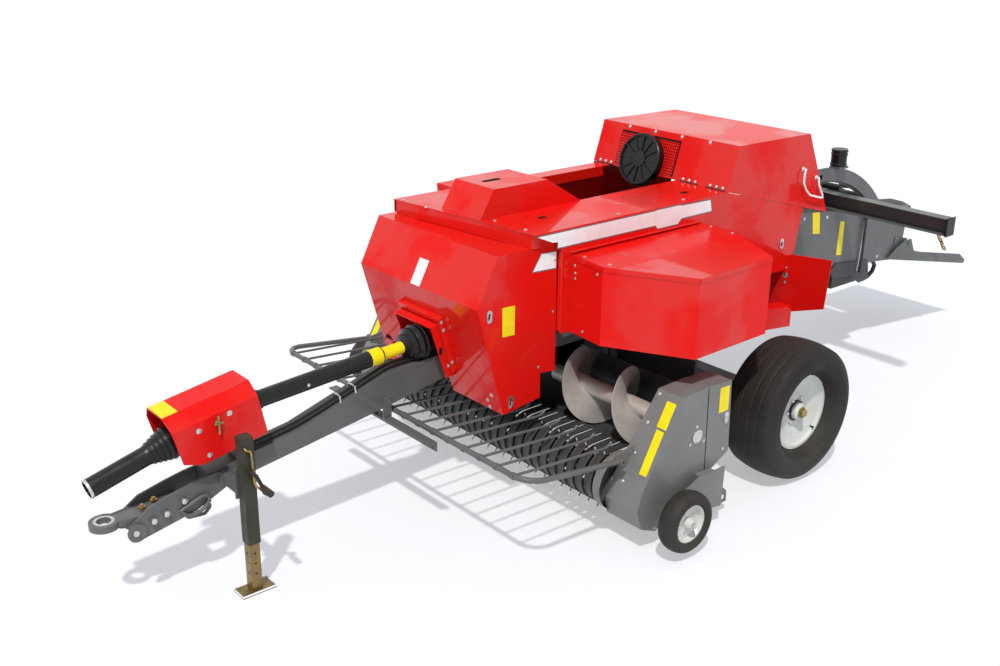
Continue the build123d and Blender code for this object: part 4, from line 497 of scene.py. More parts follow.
flag_edge = [(1.328, 1.380), (1.226, 1.376), (1.226, 1.282), (1.389, 1.290)]
piece("flag_edge", side_plate(flag_edge, COVER_Y, SKIN), OUTLINE, "cover")
flag = [(1.326, 1.375), (1.231, 1.371), (1.231, 1.288), (1.380, 1.295)]
piece("flag", side_plate(flag, COVER_Y + INLAY, SKIN), WHITE, "cover")
cover_label = [(1.574, 1.150), (1.494, 1.146), (1.494, 0.994), (1.572, 0.998)]
piece("cover_label", side_plate(cover_label, COVER_Y, SKIN), YELLOW, "cover", bevel=0.0003)
white_label = [at(1.664, -0.046, 1.2935), at(1.664, 0.031, 1.2935), at(1.7265, 0.028, 1.170),
               at(1.7265, -0.048, 1.170)]
piece("slope_label", plate(white_label, upper_out * INLAY), WHITE, "cover")

KEEPER_LENGTH, KEEPER_WIDTH, KEEPER_SHEET = 0.0656, 0.032, 0.003
KEYHOLE_HALF_WIDTH, KEYHOLE_HALF_HEIGHT = 0.007, 0.017


def latch(centre, outward):
    """Slot latch: zinc keeper plate with a dark keyhole and a bent tongue."""
    across = outward.cross(UP)
    face = centre + outward * KEEPER_SHEET
    keeper = slot_outline(centre, UP, -across, KEEPER_LENGTH, KEEPER_WIDTH, 20)
    keyhole = circle(face, across * KEYHOLE_HALF_WIDTH, UP * KEYHOLE_HALF_HEIGHT, 1, 14)
    tongue = [centre + outward * out + UP * rise + across * shift
              for out, rise, shift in ((0.004, 0.004, 0), (0.012, 0.002, 0), (0.012, -0.016, 0.006),
                                       (0.005, -0.030, 0.010))]
    return plate(keeper, outward * KEEPER_SHEET), plate(keyhole, outward * 0.0006), tube(tongue, 0.003, 8)


bright, dark = [], []
for x, z in ((1.655, 1.123), (1.513, 0.640)):
    for side in (1, -1):
        keeper, keyhole, tongue = latch(at(x, side * COVER_Y, z), LEFT * side)
        bright += [keeper, tongue]
        dark.append(keyhole)
bright += [bolt(on_cover(side * y, z), lower_out, *BIG_SCREW)
           for y, z in ((0.435, 0.678), (0.392, 0.634), (0.396, 0.594)) for side in (1, -1)]
bright += side_bolts(((1.240, 1.330), (1.240, 1.060), (1.330, 0.780)), COVER_Y, 0.006, 0.004, sides=(1,))
for y, z in ((-0.430, 0.735), (-0.380, 0.705)):
    vent = [on_cover(y, z) + LEFT * a + lower_up * b
            for a, b in ((-0.03, -0.012), (0.03, -0.012), (0.02, 0.014), (-0.02, 0.014))]
    dark.append(plate(vent, lower_out * 0.002))
piece("cover_fasteners", bright, ZINC, "cover")
piece("cover_keyholes", dark, HOLE, "cover")

# Guard box: screws, an oval slot and a collar flange

GUARD_BOX_Y = 0.153
COLLAR_INNER, COLLAR_OUTER, COLLAR_PROUD = 0.1545, 0.180, 0.030
COLLAR_FOOT, COLLAR_BAR, COLLAR_TOP = 0.735, 1.018, 1.045

box_bolts = side_bolts(((1.672, 0.960), (1.640, 0.760)), GUARD_BOX_Y, *BIG_SCREW)
piece("guard_box_screws", box_bolts, ZINC, "cover")
oval = circle(at(1.690, GUARD_BOX_Y, 0.850), FORWARD * 0.010, UP * 0.022, 1, 16)
piece("guard_box_slot", plate(oval, LEFT * 0.001), HOLE, "cover")
collar = []
for y0, y1, low in ((COLLAR_INNER, COLLAR_OUTER, COLLAR_FOOT), (-COLLAR_OUTER, -COLLAR_INNER, COLLAR_FOOT),
                    (-COLLAR_INNER, COLLAR_INNER, COLLAR_BAR)):
    strip = [on_cover(y0, low), on_cover(y1, low), on_cover(y1, COLLAR_TOP), on_cover(y0, COLLAR_TOP)]
    collar.append(plate(strip, lower_out * COLLAR_PROUD))
piece("guard_box_collar", collar, RED, "cover", bevel=0.002)
collar_bolts = [bolt(on_cover(side * COLLAR_OUTER, z) + lower_out * 0.016, LEFT * side, *BIG_SCREW)
                for z in (1.020, 0.976, 0.790) for side in (1, -1)]
piece("collar_bolts", collar_bolts, ZINC, "cover")

# Sheets that close the gaps between cover, deck, side panel and chamber

piece("roof_filler", box((1.300, -0.333, 1.4075), (1.498, 0.333, 1.4105)), RED)
APRON_LOW, APRON_HIGH = 1.412, 1.4885
for name, start, end, inward in (("deck_apron", (1.398, 0.498), (1.517, -0.455), -FORWARD),
                                 ("deck_cheek", (1.240, 0.514), (1.398, 0.498), -LEFT)):
    sheet = [at(*start, APRON_LOW), at(*end, APRON_LOW), at(*end, APRON_HIGH), at(*start, APRON_HIGH)]
    piece(name, plate(sheet, inward * 0.002), RED)
piece("panel_flange", box((1.170, 0.4985, 0.955), (1.219, 0.5265, 1.430)), RED, bevel=0.003)
# A dark sheet of painted shade under the twine box and in front of the wheel, where there is only shade
piece("painted_shade_sheet", box((0.597, 0.330, 0.560), (0.600, 0.900, 0.820)), CHARCOAL_AND_PAINTED_SHADE)

# Deck: screws and dark slots

DECK_Z, HATCH_Z = 1.490, 1.637
deck_screws = [
    bolt(at(x, y, DECK_Z), UP, *BIG_SCREW)
    for x, y in ((1.489, -0.223), (1.380, 0.199), (1.372, 0.424), (1.497, -0.422), (0.80, 0.49), (0.30, 0.49))
]
piece("deck_screws", deck_screws, ZINC)
deck_slots = [slot_on(at(*place), FORWARD, LEFT, UP, length, width) for place, length, width in (
    ((1.151, 0.300, DECK_Z), 0.055, 0.030), ((0.171, 0.384, DECK_Z), 0.060, 0.030),
    ((1.230, -0.010, HATCH_Z), 0.120, 0.036),
)]
piece("deck_slots", deck_slots, HOLE)

# Side panel: folded bead under the stripe
bead = tube([at(1.167, 0.5275, 1.362), at(0.210, 0.5275, 1.358)], 0.007, 10)
piece("side_bead", bead, RED)

# Twine boxes: folded lid lips, screws

LID_Z = 1.350
LIP_GAP, LIP_DROP, LIP_SHEET = 0.0012, 0.026, 0.0022
BOX_FRONT, BOX_CORNER = (1.156, 0.528), (1.181, 0.774)


def lid_lip(edge, middle):
    """Folded strip that hangs from a lid, along (x, y) points round its middle."""
    strips = []
    for start, end in zip(edge, edge[1:]):
        a, b = at(*start, LID_Z), at(*end, LID_Z)
        out = (b - a).normalized().cross(UP)
        if out.dot(a - at(*middle, LID_Z)) < 0:
            out = -out
        a, b = a + out * LIP_GAP, b + out * LIP_GAP
        strips.append(plate([a, b, b - UP * LIP_DROP, a - UP * LIP_DROP], out * LIP_SHEET))
    return strips


left_edge = [(1.156, 0.545), (1.181, 0.774), (0.955, 1.190), (0.400, 1.175), (0.192, 0.783), (0.171, 0.600)]
piece("twine_lid_lip", lid_lip(left_edge, (0.68, 0.75)), RED, "left_lid")
right_edge = [(0.750, -0.500), (0.750, -1.111), (0.200, -1.111), (0.200, -0.500)]
piece("right_lid_lip", lid_lip(right_edge, (0.47, -0.8)), RED, "right_lid")
lid_screws = [bolt(at(x, y, LID_Z), UP, *SCREW)
              for x, y in ((1.135, 0.600), (1.132, 0.770), (0.200, 0.610), (0.215, 0.770))]
piece("lid_screws", lid_screws, ZINC, "left_lid")
front_run = at(*BOX_CORNER, 0) - at(*BOX_FRONT, 0)
front_out = front_run.normalized().cross(UP)
box_screws = []
for y, z in ((0.556, 1.300), (0.560, 1.262), (0.561, 1.234), (0.731, 1.300), (0.633, 0.975)):
    x = BOX_FRONT[0] + (y - BOX_FRONT[1]) * front_run.x / front_run.y
    box_screws.append(bolt(at(x, y, z), front_out, *SCREW))
box_screws += [bolt(at(0.182, 0.690, z), Vector((-0.99, 0.11, 0)), *SCREW) for z in (1.30, 1.12, 1.08)]
piece("box_screws", box_screws, ZINC)

# Hood: perforated panel, fan screen, screws, hinges, wire handle

HOOD_FOOT, HOOD_TOP = (-0.020, 1.490), (-0.100, 1.737)
HOOD_Y, ROOF_Z = 0.525, 1.7315
hood_foot, hood_top = at(HOOD_FOOT[0], 0, HOOD_FOOT[1]), at(HOOD_TOP[0], 0, HOOD_TOP[1])
hood_up, hood_out = slope(HOOD_FOOT, HOOD_TOP)
PANEL_LOW, PANEL_HIGH = 0.012, 0.222
PANEL_RIGHT, PANEL_LEFT = -0.352, 0.118
HOLE_PITCH, HOLE_RADIUS, PANEL_SHEET = 0.0165, 0.0052, 0.0018


def perforated(origin, across, upward, outward, width, height):
    """Sheet with rows of round holes, built cell by cell."""
    points, faces = [], []
    ring = 12
    for row in range(int(height / HOLE_PITCH)):
        for column in range(int(width / HOLE_PITCH)):
            middle = origin + across * (column + 0.5) * HOLE_PITCH + upward * (row + 0.5) * HOLE_PITCH
            start = len(points)
            for lift in (0, PANEL_SHEET):
                for step in range(ring):
                    turn = tau * (step + 0.5) / ring
                    direction = across * cos(turn) + upward * sin(turn)
                    reach = HOLE_PITCH / 2 / max(abs(cos(turn)), abs(sin(turn)))
                    points.append(middle + direction * HOLE_RADIUS + outward * lift)
                    points.append(middle + direction * reach + outward * lift)
            for step in range(ring):
                following = (step + 1) % ring
                low = [start + 2 * step, start + 2 * step + 1, start + 2 * following + 1, start + 2 * following]
                top = [index + 2 * ring for index in low]
                faces.append(tuple(top))
                faces.append((low[0], low[3], top[3], top[0]))
    return points, faces


panel_width, panel_height = PANEL_LEFT - PANEL_RIGHT, PANEL_HIGH - PANEL_LOW
panel_origin = hood_foot + LEFT * PANEL_RIGHT + hood_up * PANEL_LOW + hood_out * 0.0012
piece("perforated_panel", perforated(panel_origin, LEFT, hood_up, hood_out, panel_width, panel_height), RED,
      "knotter_hood")
# A dark sheet of painted shade behind the holes, where the inside of the hood lies in shade
shade_outline = [panel_origin - hood_out * 0.0010 + LEFT * a + hood_up * b
           for a, b in ((0, 0), (panel_width, 0), (panel_width, panel_height), (0, panel_height))]
piece("painted_shade_behind_panel", plate(shade_outline, hood_out * INLAY), HOLE, "knotter_hood")
fan_middle = hood_foot + hood_up * 0.070 + LEFT * -0.125
screen = [(0, 0.043), (0.148, 0.043), (0.148, 0.0415)]
piece("fan_screen", lathe(screen, fan_middle, hood_out, 48), BLACK, "knotter_hood")
fan_ring = [(0.1500, 0.0), (0.1530, 0.002), (0.1530, 0.049), (0.1495, 0.0525), (0.1400, 0.0525)]
piece("fan_rim", lathe(fan_ring, fan_middle, hood_out, 64), BLACK, "knotter_hood")

hood_screws = [bolt(hood_top + LEFT * y - hood_up * 0.012, hood_out, *SCREW)
               for y in (-0.302, -0.095, 0.112, 0.32)]
hood_screws += [bolt(at(x, y, ROOF_Z), UP, *SCREW)
                for x, y in ((-0.695, -0.321), (-0.710, -0.498), (-0.707, 0.228), (-0.701, 0.470))]
piece("hood_screws", hood_screws, ZINC, "knotter_hood")
HINGE_BOLT_PITCH, HINGE_BOLT_RISE = 0.045, 0.016
hinges, hinge_bolts = [], []
for start_y in (-0.47, -0.28, 0.20, 0.40):
    for step in range(3):
        foot = hood_foot + LEFT * (start_y + step * HINGE_BOLT_PITCH) + hood_up * HINGE_BOLT_RISE
        hinge_bolts.append(bolt(foot, hood_out, *SMALL_SCREW))
    hinges.append(tube([hood_foot + LEFT * (start_y - 0.02), hood_foot + LEFT * (start_y + 0.11)], 0.006, 12))
piece("hinge_barrels", hinges, BLACK, "knotter_hood")
piece("hinge_bolts", hinge_bolts, ZINC, "knotter_hood")
handle_path = [
    (-0.712, 0.526, 1.527), (-0.712, 0.545, 1.527), (-0.697, 0.549, 1.500), (-0.697, 0.549, 1.448),
    (-0.730, 0.549, 1.400), (-0.772, 0.549, 1.366), (-0.880, 0.549, 1.334), (-0.902, 0.549, 1.332),
    (-0.898, 0.549, 1.348), (-0.852, 0.549, 1.414), (-0.846, 0.549, 1.436), (-0.850, 0.545, 1.458),
    (-0.850, 0.526, 1.458),
]
handle = [tube([at(*p) for p in handle_path], 0.006, 10)]
handle += [lathe([(0, 0), (0.013, 0), (0.013, 0.003), (0.008, 0.004)], at(x, HOOD_Y, z), LEFT, 16)
           for x, z in ((-0.712, 1.527), (-0.850, 1.458))]
piece("hood_handle", handle, WHITE, "knotter_hood")
keeper, keyhole, tongue = latch(at(-0.570, HOOD_Y, 1.096), LEFT)
piece("rear_latch", [keeper, tongue], ZINC)
piece("rear_latch_hole", keyhole, HOLE)

# Rear wing and the step beside the chamber

WING_X, WING_HALF_SHEET = -0.622, 0.002
wing = [(0.526, 1.015), (0.569, 1.031), (0.849, 1.060), (0.828, 0.755), (0.592, 0.675), (0.430, 0.655),
        (0.430, 0.925), (0.526, 0.925)]
wing_back = [at(WING_X - WING_HALF_SHEET, y, z) for y, z in wing]
piece("wing_sheet", plate(wing_back, FORWARD * 2 * WING_HALF_SHEET), RED, bevel=0.001,
      replaces=["rear_wing"])
step_side = [(-0.600, 0.594), (-0.600, 0.727), (-0.200, 0.774), (-0.200, 0.642)]
piece("side_step", side_plate(step_side, PANEL_Y, LEFT * 0.094), RED, bevel=0.003)
wing_screws = [bolt(at(WING_X + WING_HALF_SHEET, 0.540, z), FORWARD, radius, 0.006)
               for z, radius in ((0.940, 0.007), (0.895, 0.013), (0.850, 0.007))]
piece("wing_screws", wing_screws, ZINC)

# Pickup: labels, screws, inspection caps, seams and latches on the side boxes

PICKUP_Y = 1.2
SLANT_LOW, SLANT_HIGH = (1.290, 0.326), (1.034, 0.771)
_, slant_out = slope(SLANT_LOW, SLANT_HIGH)
SLANT_LABELS = (
    ((1.123, 0.735), (1.181, 0.735), (1.183, 0.618), (1.123, 0.618)),
    ((1.130, 0.608), (1.178, 0.608), (1.182, 0.408), (1.136, 0.408)),
)
REAR_LABEL = [(0.753, 0.745), (0.682, 0.745), (0.682, 0.610), (0.753, 0.610)]
SEAM = [(0.846, 0.771), (0.841, 0.771), (0.828, 0.290), (0.833, 0.286)]
INSPECTION_CAP = [(0, 0.004), (0.020, 0.006), (0.026, 0.009), (0.030, 0.006), (0.036, 0.004), (0.036, 0.0)]


def slant(y, z):
    """Point on the pickup side's sloping front face."""
    share = (z - SLANT_LOW[1]) / (SLANT_HIGH[1] - SLANT_LOW[1])
    return at(SLANT_LOW[0] + share * (SLANT_HIGH[0] - SLANT_LOW[0]), y, z)


for side, word in SIDES:
    out, face_y = LEFT * side, side * PICKUP_Y
    labels = [plate([slant(side * y, z) for y, z in corners], slant_out * INLAY) for corners in SLANT_LABELS]
    labels.append(side_plate(REAR_LABEL, face_y, out * INLAY))
    piece(f"pickup_labels_{word}", labels, YELLOW, "pickup")
    screws = [bolt(slant(side * 1.062, z), slant_out, 0.007, 0.006) for z in (0.750, 0.620, 0.480, 0.350)]
    screws += side_bolts(((0.911, 0.582), (0.956, 0.498), (0.855, 0.490), (1.180, 0.115), (0.70, 0.40)),
                         PICKUP_Y, *SMALL_SCREW, sides=(side,))
    piece(f"pickup_screws_{word}", screws, ZINC, "pickup")
    cap = lathe(INSPECTION_CAP, at(0.905, face_y, 0.529), out, 32)
    piece(f"pickup_inspection_cap_{word}", cap, ZINC, "pickup")
    piece(f"pickup_seam_{word}", side_plate(SEAM, face_y, out * 0.0007), HOLE, "pickup")
    keeper, _, tongue = latch(at(0.692, face_y, 0.570), out)
    piece(f"pickup_latch_{word}", [keeper, tongue], ZINC, "pickup")

# Stripper bands: a rib along both edges of each band

TINE_PITCH, TINE_COUNT = 0.066, 29
BAND_WIDTH, BAND_RADIUS, RIB_RADIUS = 0.048, 0.1405, 0.0035
ribs = []
first_band = -(TINE_COUNT - 1) / 2 * TINE_PITCH + (TINE_PITCH - BAND_WIDTH) / 2
for number in range(TINE_COUNT - 1):
    for edge in (RIB_RADIUS, BAND_WIDTH - RIB_RADIUS):
        y = first_band + number * TINE_PITCH + edge
        path = [REEL + LEFT * y + spoke(radians(angle)) * BAND_RADIUS for angle in range(-108, 92, 10)]
        ribs.append(tube(path + [at(1.082, y, 0.4305)], RIB_RADIUS, 6))
piece("band_ribs", ribs, CHARCOAL_AND_PAINTED_SHADE, "pickup")

# Augers: one flight round each core tube

AUGER_X, AUGER_Z = 0.975, 0.590
AUGER_START, AUGER_END, AUGER_TIP, AUGER_PITCH, AUGER_PHASE = 0.270, 0.980, 1.020, 0.360, 0.65
AUGER_RADIUS, AUGER_CORE, AUGER_STUB, FLIGHT_HALF = 0.185, 0.045, 0.020, 0.0022
AUGER_STEPS = 120


def flight(side):
    """Sheet that winds round the auger's core."""
    points, faces = [], []
    inner = AUGER_CORE - 0.002
    for step in range(AUGER_STEPS + 1):
        y = AUGER_START + (AUGER_END - AUGER_START) * step / AUGER_STEPS
        turn = tau * (AUGER_PHASE - (y - AUGER_START) / AUGER_PITCH)
        for radius, shift in ((inner, -FLIGHT_HALF), (AUGER_RADIUS, -FLIGHT_HALF), (AUGER_RADIUS, FLIGHT_HALF),
                              (inner, FLIGHT_HALF)):
            points.append(at(AUGER_X, side * (y + shift), AUGER_Z) + spoke(turn) * radius)
    for step in range(AUGER_STEPS):
        start = 4 * step
        for a in range(4):
            b = (a + 1) % 4
            faces.append((start + a, start + b, start + 4 + b, start + 4 + a))
    return points, faces + [(0, 1, 2, 3), tuple(range(len(points) - 4, len(points)))]


core = [(0, AUGER_START - 0.01), (AUGER_CORE, AUGER_START - 0.01), (AUGER_CORE, AUGER_END),
        (AUGER_STUB, AUGER_END), (AUGER_STUB, AUGER_TIP), (0, AUGER_TIP)]
for side, word in SIDES:
    shapes = [flight(side), lathe(core, at(AUGER_X, 0, AUGER_Z), LEFT * side, 40)]
    piece(f"auger_flighting_{word}", shapes, FLIGHT, f"{word}_auger", replaces=[f"auger_{word}"])

# Windguard: rods with turned-up ends, and their clamps on the tube

GUARD_RODS, GUARD_ROD_PITCH, GUARD_ROD_RADIUS = 17, 0.121, 0.0072
ROD_PATH = [(1.898, 0.544), (1.330, 0.502), (1.300, 0.503), (1.282, 0.510), (1.268, 0.522)]
ROD_CLAMP = [(0.0135, -0.010), (0.0175, -0.009), (0.0175, 0.009), (0.0135, 0.010)]
rods, clamps = [], []
for number in range(GUARD_RODS):
    y = (number - (GUARD_RODS - 1) / 2) * GUARD_ROD_PITCH
    rods.append(tube([at(x, y, z) for x, z in ROD_PATH], GUARD_ROD_RADIUS, 8))
    clamps.append(lathe(ROD_CLAMP, at(1.900, y, 0.544), LEFT, 18))
piece("windguard_rods", rods, GREY, "wind_guard")
piece("windguard_clamps", clamps, GREY, "wind_guard")

# Drums that close the reel's ends

DRUM_FACE = 0.936
drum = [(0.016, DRUM_FACE), (0.150, DRUM_FACE), (0.150, 0.985)]
for side, word in SIDES:
    out = LEFT * side
    # The end drums take the lighter grey, which is painted light
    piece(f"reel_end_{word}", lathe(drum, REEL, out, 48), GREY_WITH_PAINTED_LIGHT, "pickup")
    drum_bolts = [bolt(REEL + out * DRUM_FACE + spoke(radians(angle)) * 0.110, -out, *BIG_SCREW)
                  for angle in (25, 55, 85)]
    piece(f"reel_end_bolts_{word}", drum_bolts, ZINC, "pickup")

# Bracket bar behind the gauge wheel

BRACKET_Y, BRACKET_WIDTH = 1.115, 0.066
bar = [(0.860, 0.300), (0.756, 0.243), (0.640, 0.150), (0.610, 0.122), (0.606, 0.060), (0.700, 0.056),
       (0.860, 0.160)]
for side, word in SIDES:
    out = LEFT * side
    piece(f"wheel_bracket_{word}", side_plate(bar, side * BRACKET_Y, out * BRACKET_WIDTH), GREY, "pickup",
          bevel=0.004)
    eye = slot_on(at(0.646, side * 1.1812, 0.096), FORWARD, UP, out, 0.026, 0.0259)
    piece(f"wheel_bracket_eye_{word}", eye, WHITE, "pickup")

# Drive line: guard tube with bellows, yellow sleeves, rings

DRIVE_REAR, DRIVE_FRONT = (1.550, 0.879), (2.850, 0.781)
drive_rear, drive_front = at(DRIVE_REAR[0], 0, DRIVE_REAR[1]), at(DRIVE_FRONT[0], 0, DRIVE_FRONT[1])
drive_along = (drive_front - drive_rear).normalized()


def drive(x):
    """Point on the middle shaft's axis."""
    return drive_rear.lerp(drive_front, (x - DRIVE_REAR[0]) / (DRIVE_FRONT[0] - DRIVE_REAR[0]))


def sleeve(start_x, end_x, radius, lift):
    """Thin collar round the middle shaft's guard tube."""
    length, edge = (end_x - start_x) / drive_along.x, 0.0008
    profile = [(radius, 0), (radius + lift, edge), (radius + lift, length - edge), (radius, length)]
    return lathe(profile, drive(start_x), drive_along, 40)


# Radius of the guard tube at places along the machine
sheath = [
    (1.556, 0.034), (1.556, 0.070), (1.700, 0.078), (1.704, 0.093), (1.715, 0.095), (1.722, 0.087),
    (1.730, 0.094), (1.743, 0.095), (1.751, 0.085), (1.761, 0.079), (1.766, 0.087), (1.778, 0.087),
    (1.785, 0.074), (1.797, 0.061), (1.802, 0.066), (1.810, 0.065), (1.815, 0.050), (1.820, 0.036),
    (1.826, 0.0295), (1.950, 0.0295), (1.952, 0.042), (2.738, 0.042), (2.739, 0.036),
]
sheath = [(radius, (x - DRIVE_REAR[0]) / drive_along.x) for x, radius in sheath]
piece("drive_sheath", lathe(sheath, drive_rear, drive_along, 48), BLACK, replaces=["drive_guard"])
yellow_sleeves = [sleeve(1.822, 1.943, 0.0298, 0.0016), sleeve(1.957, 2.024, 0.042, 0.0014)]
piece("yellow_sleeves", yellow_sleeves, YELLOW)
piece("tube_rings", sleeve(2.640, 2.656, 0.042, 0.005), BLACK)
piece("tube_screw", bolt(drive(2.394) + LEFT * 0.0415, LEFT, 0.006, 0.004), ZINC)

# Front guard tube: folds on its cone and a bright end

FOLD_RADII = ((0.090, 0.050), (0.112, 0.056), (0.136, 0.065), (0.160, 0.074), (0.184, 0.078),
              (0.262, 0.078), (0.284, 0.072), (0.306, 0.065), (0.328, 0.058), (0.350, 0.051))
front_end = at(3.480, 0, 0.604)
front_along = (front_end - drive_front).normalized()
folds = []
for distance, radius in FOLD_RADII:
    foot, crest = radius - 0.004, radius + 0.003
    ring = [(foot, -0.007), (crest, -0.003), (crest, 0.003), (foot, 0.007)]
    folds.append(lathe(ring, drive_front + front_along * distance, front_along, 40))
piece("front_tube_folds", folds, BLACK, "front_tube")
end_ring = [(0.0450, -0.012), (0.0465, -0.010), (0.0465, -0.001), (0.0440, 0.001), (0.0400, 0.001)]
piece("front_tube_end", lathe(end_ring, front_end, front_along, 40), ZINC, "front_tube")

# Front shield: label, screws, latch

SHIELD_Y = 0.130
SHIELD_FRONT, SHIELD_REAR = (3.150, 0.869), (2.724, 0.942)
shield_back, shield_up = slope(SHIELD_FRONT, SHIELD_REAR)
label = [at(SHIELD_FRONT[0], y, SHIELD_FRONT[1]) + shield_back * back
         for back, y in ((0.004, -0.074), (0.080, -0.074), (0.080, 0.074), (0.004, 0.074))]
piece("shield_label", plate(label, shield_up * INLAY), YELLOW)
shield_screws = side_bolts(((3.008, 0.789), (2.856, 0.833), (2.965, 0.660)), SHIELD_Y, 0.009, 0.006)
piece("shield_screws", shield_screws, ZINC)
knob = at(2.918, SHIELD_Y, 0.805)
toggle = [
    lathe([(0, 0), (0.014, 0), (0.014, 0.006), (0.008, 0.010), (0.008, 0.020), (0, 0.020)], knob, LEFT, 20),
    tube([knob + LEFT * out + UP * rise
          for out, rise in ((0.016, 0.040), (0.018, 0.012), (0.018, -0.020), (0.014, -0.050))], 0.006, 10),
    tube([knob + LEFT * 0.014 + FORWARD * 0.022, knob + LEFT * 0.014 - FORWARD * 0.022], 0.005, 8),
]
piece("shield_latch", toggle, GOLD_ZINC)

# Hitch: bolt heads, bush, noses, chain loop, nuts

HITCH_BOLT_HEAD = [(0.0155, 0.0), (0.0155, 0.004), (0.0140, 0.0075), (0.009, 0.010), (0, 0.0112)]
HITCH_NUT = [(0, 0), (0.017, 0), (0.017, 0.012), (0.009, 0.013), (0.009, 0.022), (0, 0.022)]
heads = [lathe(HITCH_BOLT_HEAD, at(x, side * 0.0838, z), LEFT * side, 20)
         for x, z in ((3.320, 0.369), (3.234, 0.400), (3.173, 0.416), (3.086, 0.450)) for side in (1, -1)]
piece("hitch_bolt_heads", heads, ZINC)
bush = [(0.0322, -0.0155), (0.0322, 0.0155), (0.038, 0.0162), (0.046, 0.0155), (0.046, 0.0150)]
piece("eye_bush", lathe(bush, at(3.426, 0, 0.418), UP, 40), ZINC)
nose = [(0, 0), (0.044, 0), (0.044, 0.0112), (0, 0.0112)]
noses = [lathe(nose, at(3.312, side * 0.0722, 0.366), LEFT * side, 36) for side in (1, -1)]
piece("hitch_noses", noses, GREY, bevel=0.001)
loop = [(3.104, 0.404), (3.088, 0.380), (3.066, 0.368), (3.040, 0.366), (3.008, 0.374), (2.985, 0.388),
        (2.966, 0.410), (2.968, 0.434), (2.984, 0.443), (3.006, 0.442), (3.040, 0.430), (3.080, 0.416)]
piece("chain_loop", tube([at(x, 0.082, z) for x, z in loop], 0.0095, 12, closed=True), GREY)
nuts = [lathe(HITCH_NUT, at(x, 0.030, z), UP, 6) for x, z in ((3.262, 0.450), (3.205, 0.466))]
piece("hitch_nuts", nuts, GOLD_ZINC)

# Jack: rim of the foot, pin holes, rod with its grip

JACK_X, JACK_Y, LEG_FACE = 2.870, 0.280, 0.0256
TRAY_HALF_LENGTH, TRAY_HALF_WIDTH, TRAY_RIM_Z = 0.085, 0.048, 0.010
tray_rim = [at(JACK_X + a * TRAY_HALF_LENGTH, JACK_Y + b * TRAY_HALF_WIDTH, TRAY_RIM_Z)
            for a, b in ((-1, -1), (1, -1), (1, 1), (-1, 1))]
piece("jack_tray_rim", tube(tray_rim, 0.0045, 8, closed=True), WHITE, "jack_foot")
pin_holes = []
for z in (0.200, 0.148, 0.096):
    for across, outward in ((FORWARD, LEFT), (LEFT, FORWARD)):
        centre = at(JACK_X, JACK_Y, z) + outward * LEG_FACE
        pin_holes.append(slot_on(centre, across, UP, outward, 0.010, 0.0099, 0.0003))
piece("jack_pin_holes", pin_holes, HOLE, "jack_foot")
jack_rod = [(2.887, 0.312, 0.735), (2.887, 0.323, 0.730), (2.866, 0.324, 0.720), (2.862, 0.324, 0.700),
            (2.857, 0.324, 0.565), (2.848, 0.324, 0.540), (2.806, 0.324, 0.502)]
piece("stand_rod", tube([at(*point) for point in jack_rod], 0.0058, 10), GOLD_ZINC, "jack")
grip = [(0, -0.004), (0.010, -0.004), (0.015, 0.004), (0.015, 0.022), (0.010, 0.030), (0, 0.031)]
piece("stand_grip", lathe(grip, at(2.812, 0.324, 0.507), Vector((-0.75, 0, -0.66)), 20), BLACK, "jack")

# Hose clips over the tongue's sloping top

TONGUE_REAR, TONGUE_FRONT = (1.939, 0.771), (2.466, 0.608)
clips = []
for x in (2.229, 2.140):
    share = (x - TONGUE_REAR[0]) / (TONGUE_FRONT[0] - TONGUE_REAR[0])
    top = TONGUE_REAR[1] + share * (TONGUE_FRONT[1] - TONGUE_REAR[1])
    bow = [(-0.02, 0), (-0.012, 0.032), (0.017, 0.036), (0.046, 0.032), (0.053, 0)]
    clips.append(tube([at(x, y, top + rise) for y, rise in bow], 0.005, 8))
piece("hose_clips", clips, ZINC)

# Chamber: labels, screws, lamps, rings round the canister

CHAMBER_Y, CHAMBER_SLOPE = 0.300, 0.117


def chamber_line(x, height):
    """Height at x of a line that runs along the sloping chamber, height being that at x = -1.450."""
    return height + CHAMBER_SLOPE * (x + 1.450)


chamber_labels = [side_plate(corners, CHAMBER_Y, SKIN) for corners in (
    [(-1.185, 1.140), (-1.262, 1.131), (-1.285, 0.985), (-1.208, 0.995)],
    [(-1.505, 1.030), (-1.556, 1.022), (-1.560, 0.790), (-1.500, 0.800)],
)]
piece("chamber_labels", chamber_labels, YELLOW)
screw_places = [(x, chamber_line(x, 0.727) + rise) for x in (-2.22, -2.00, -1.35, -1.10, -0.90)
                for rise in (0.035, 0.345)]
piece("chamber_screws", side_bolts(screw_places, CHAMBER_Y, *BIG_SCREW), ZINC)
lamp = [(0, 0), (0.032, 0), (0.036, 0.004), (0.036, 0.014), (0.030, 0.020), (0, 0.022)]
lamps = [lathe(lamp, at(-1.490, side * 0.96, 1.172), -FORWARD, 32) for side in (1, -1)]
piece("tail_lamps", lamps, LENS)
canister_ring = [(0.050, 0), (0.0535, 0.003), (0.0535, 0.012), (0.050, 0.015)]
canister_rings = [lathe(canister_ring, at(-1.430, 0.286, z), UP, 36) for z in (1.414, 1.480, 1.502)]
piece("canister_rings", canister_rings, BLACK)

# Density frame: curved bands over the chamber, open underneath

BAND, ARCH_STEPS = 0.085, 24
ARCH_FRONT, ARCH_MIDDLE, ARCH_REAR = (-1.213, 1.414), (-1.640, 1.330), (-1.950, 1.107)


def arc_through(first, middle, last):
    """Centre and radius of the circle through three (x, z) points."""
    (ax, az), (bx, bz), (cx, cz) = first, middle, last
    turn = 2 * (ax * (bz - cz) + bx * (cz - az) + cx * (az - bz))
    a, b, c = ax * ax + az * az, bx * bx + bz * bz, cx * cx + cz * cz
    x = (a * (bz - cz) + b * (cz - az) + c * (az - bz)) / turn
    z = (a * (cx - bx) + b * (ax - cx) + c * (bx - ax)) / turn
    return x, z, ((ax - x) ** 2 + (az - z) ** 2) ** 0.5


def on_chamber(x):
    """Point on the chamber's top."""
    return x, chamber_line(x, 1.107)


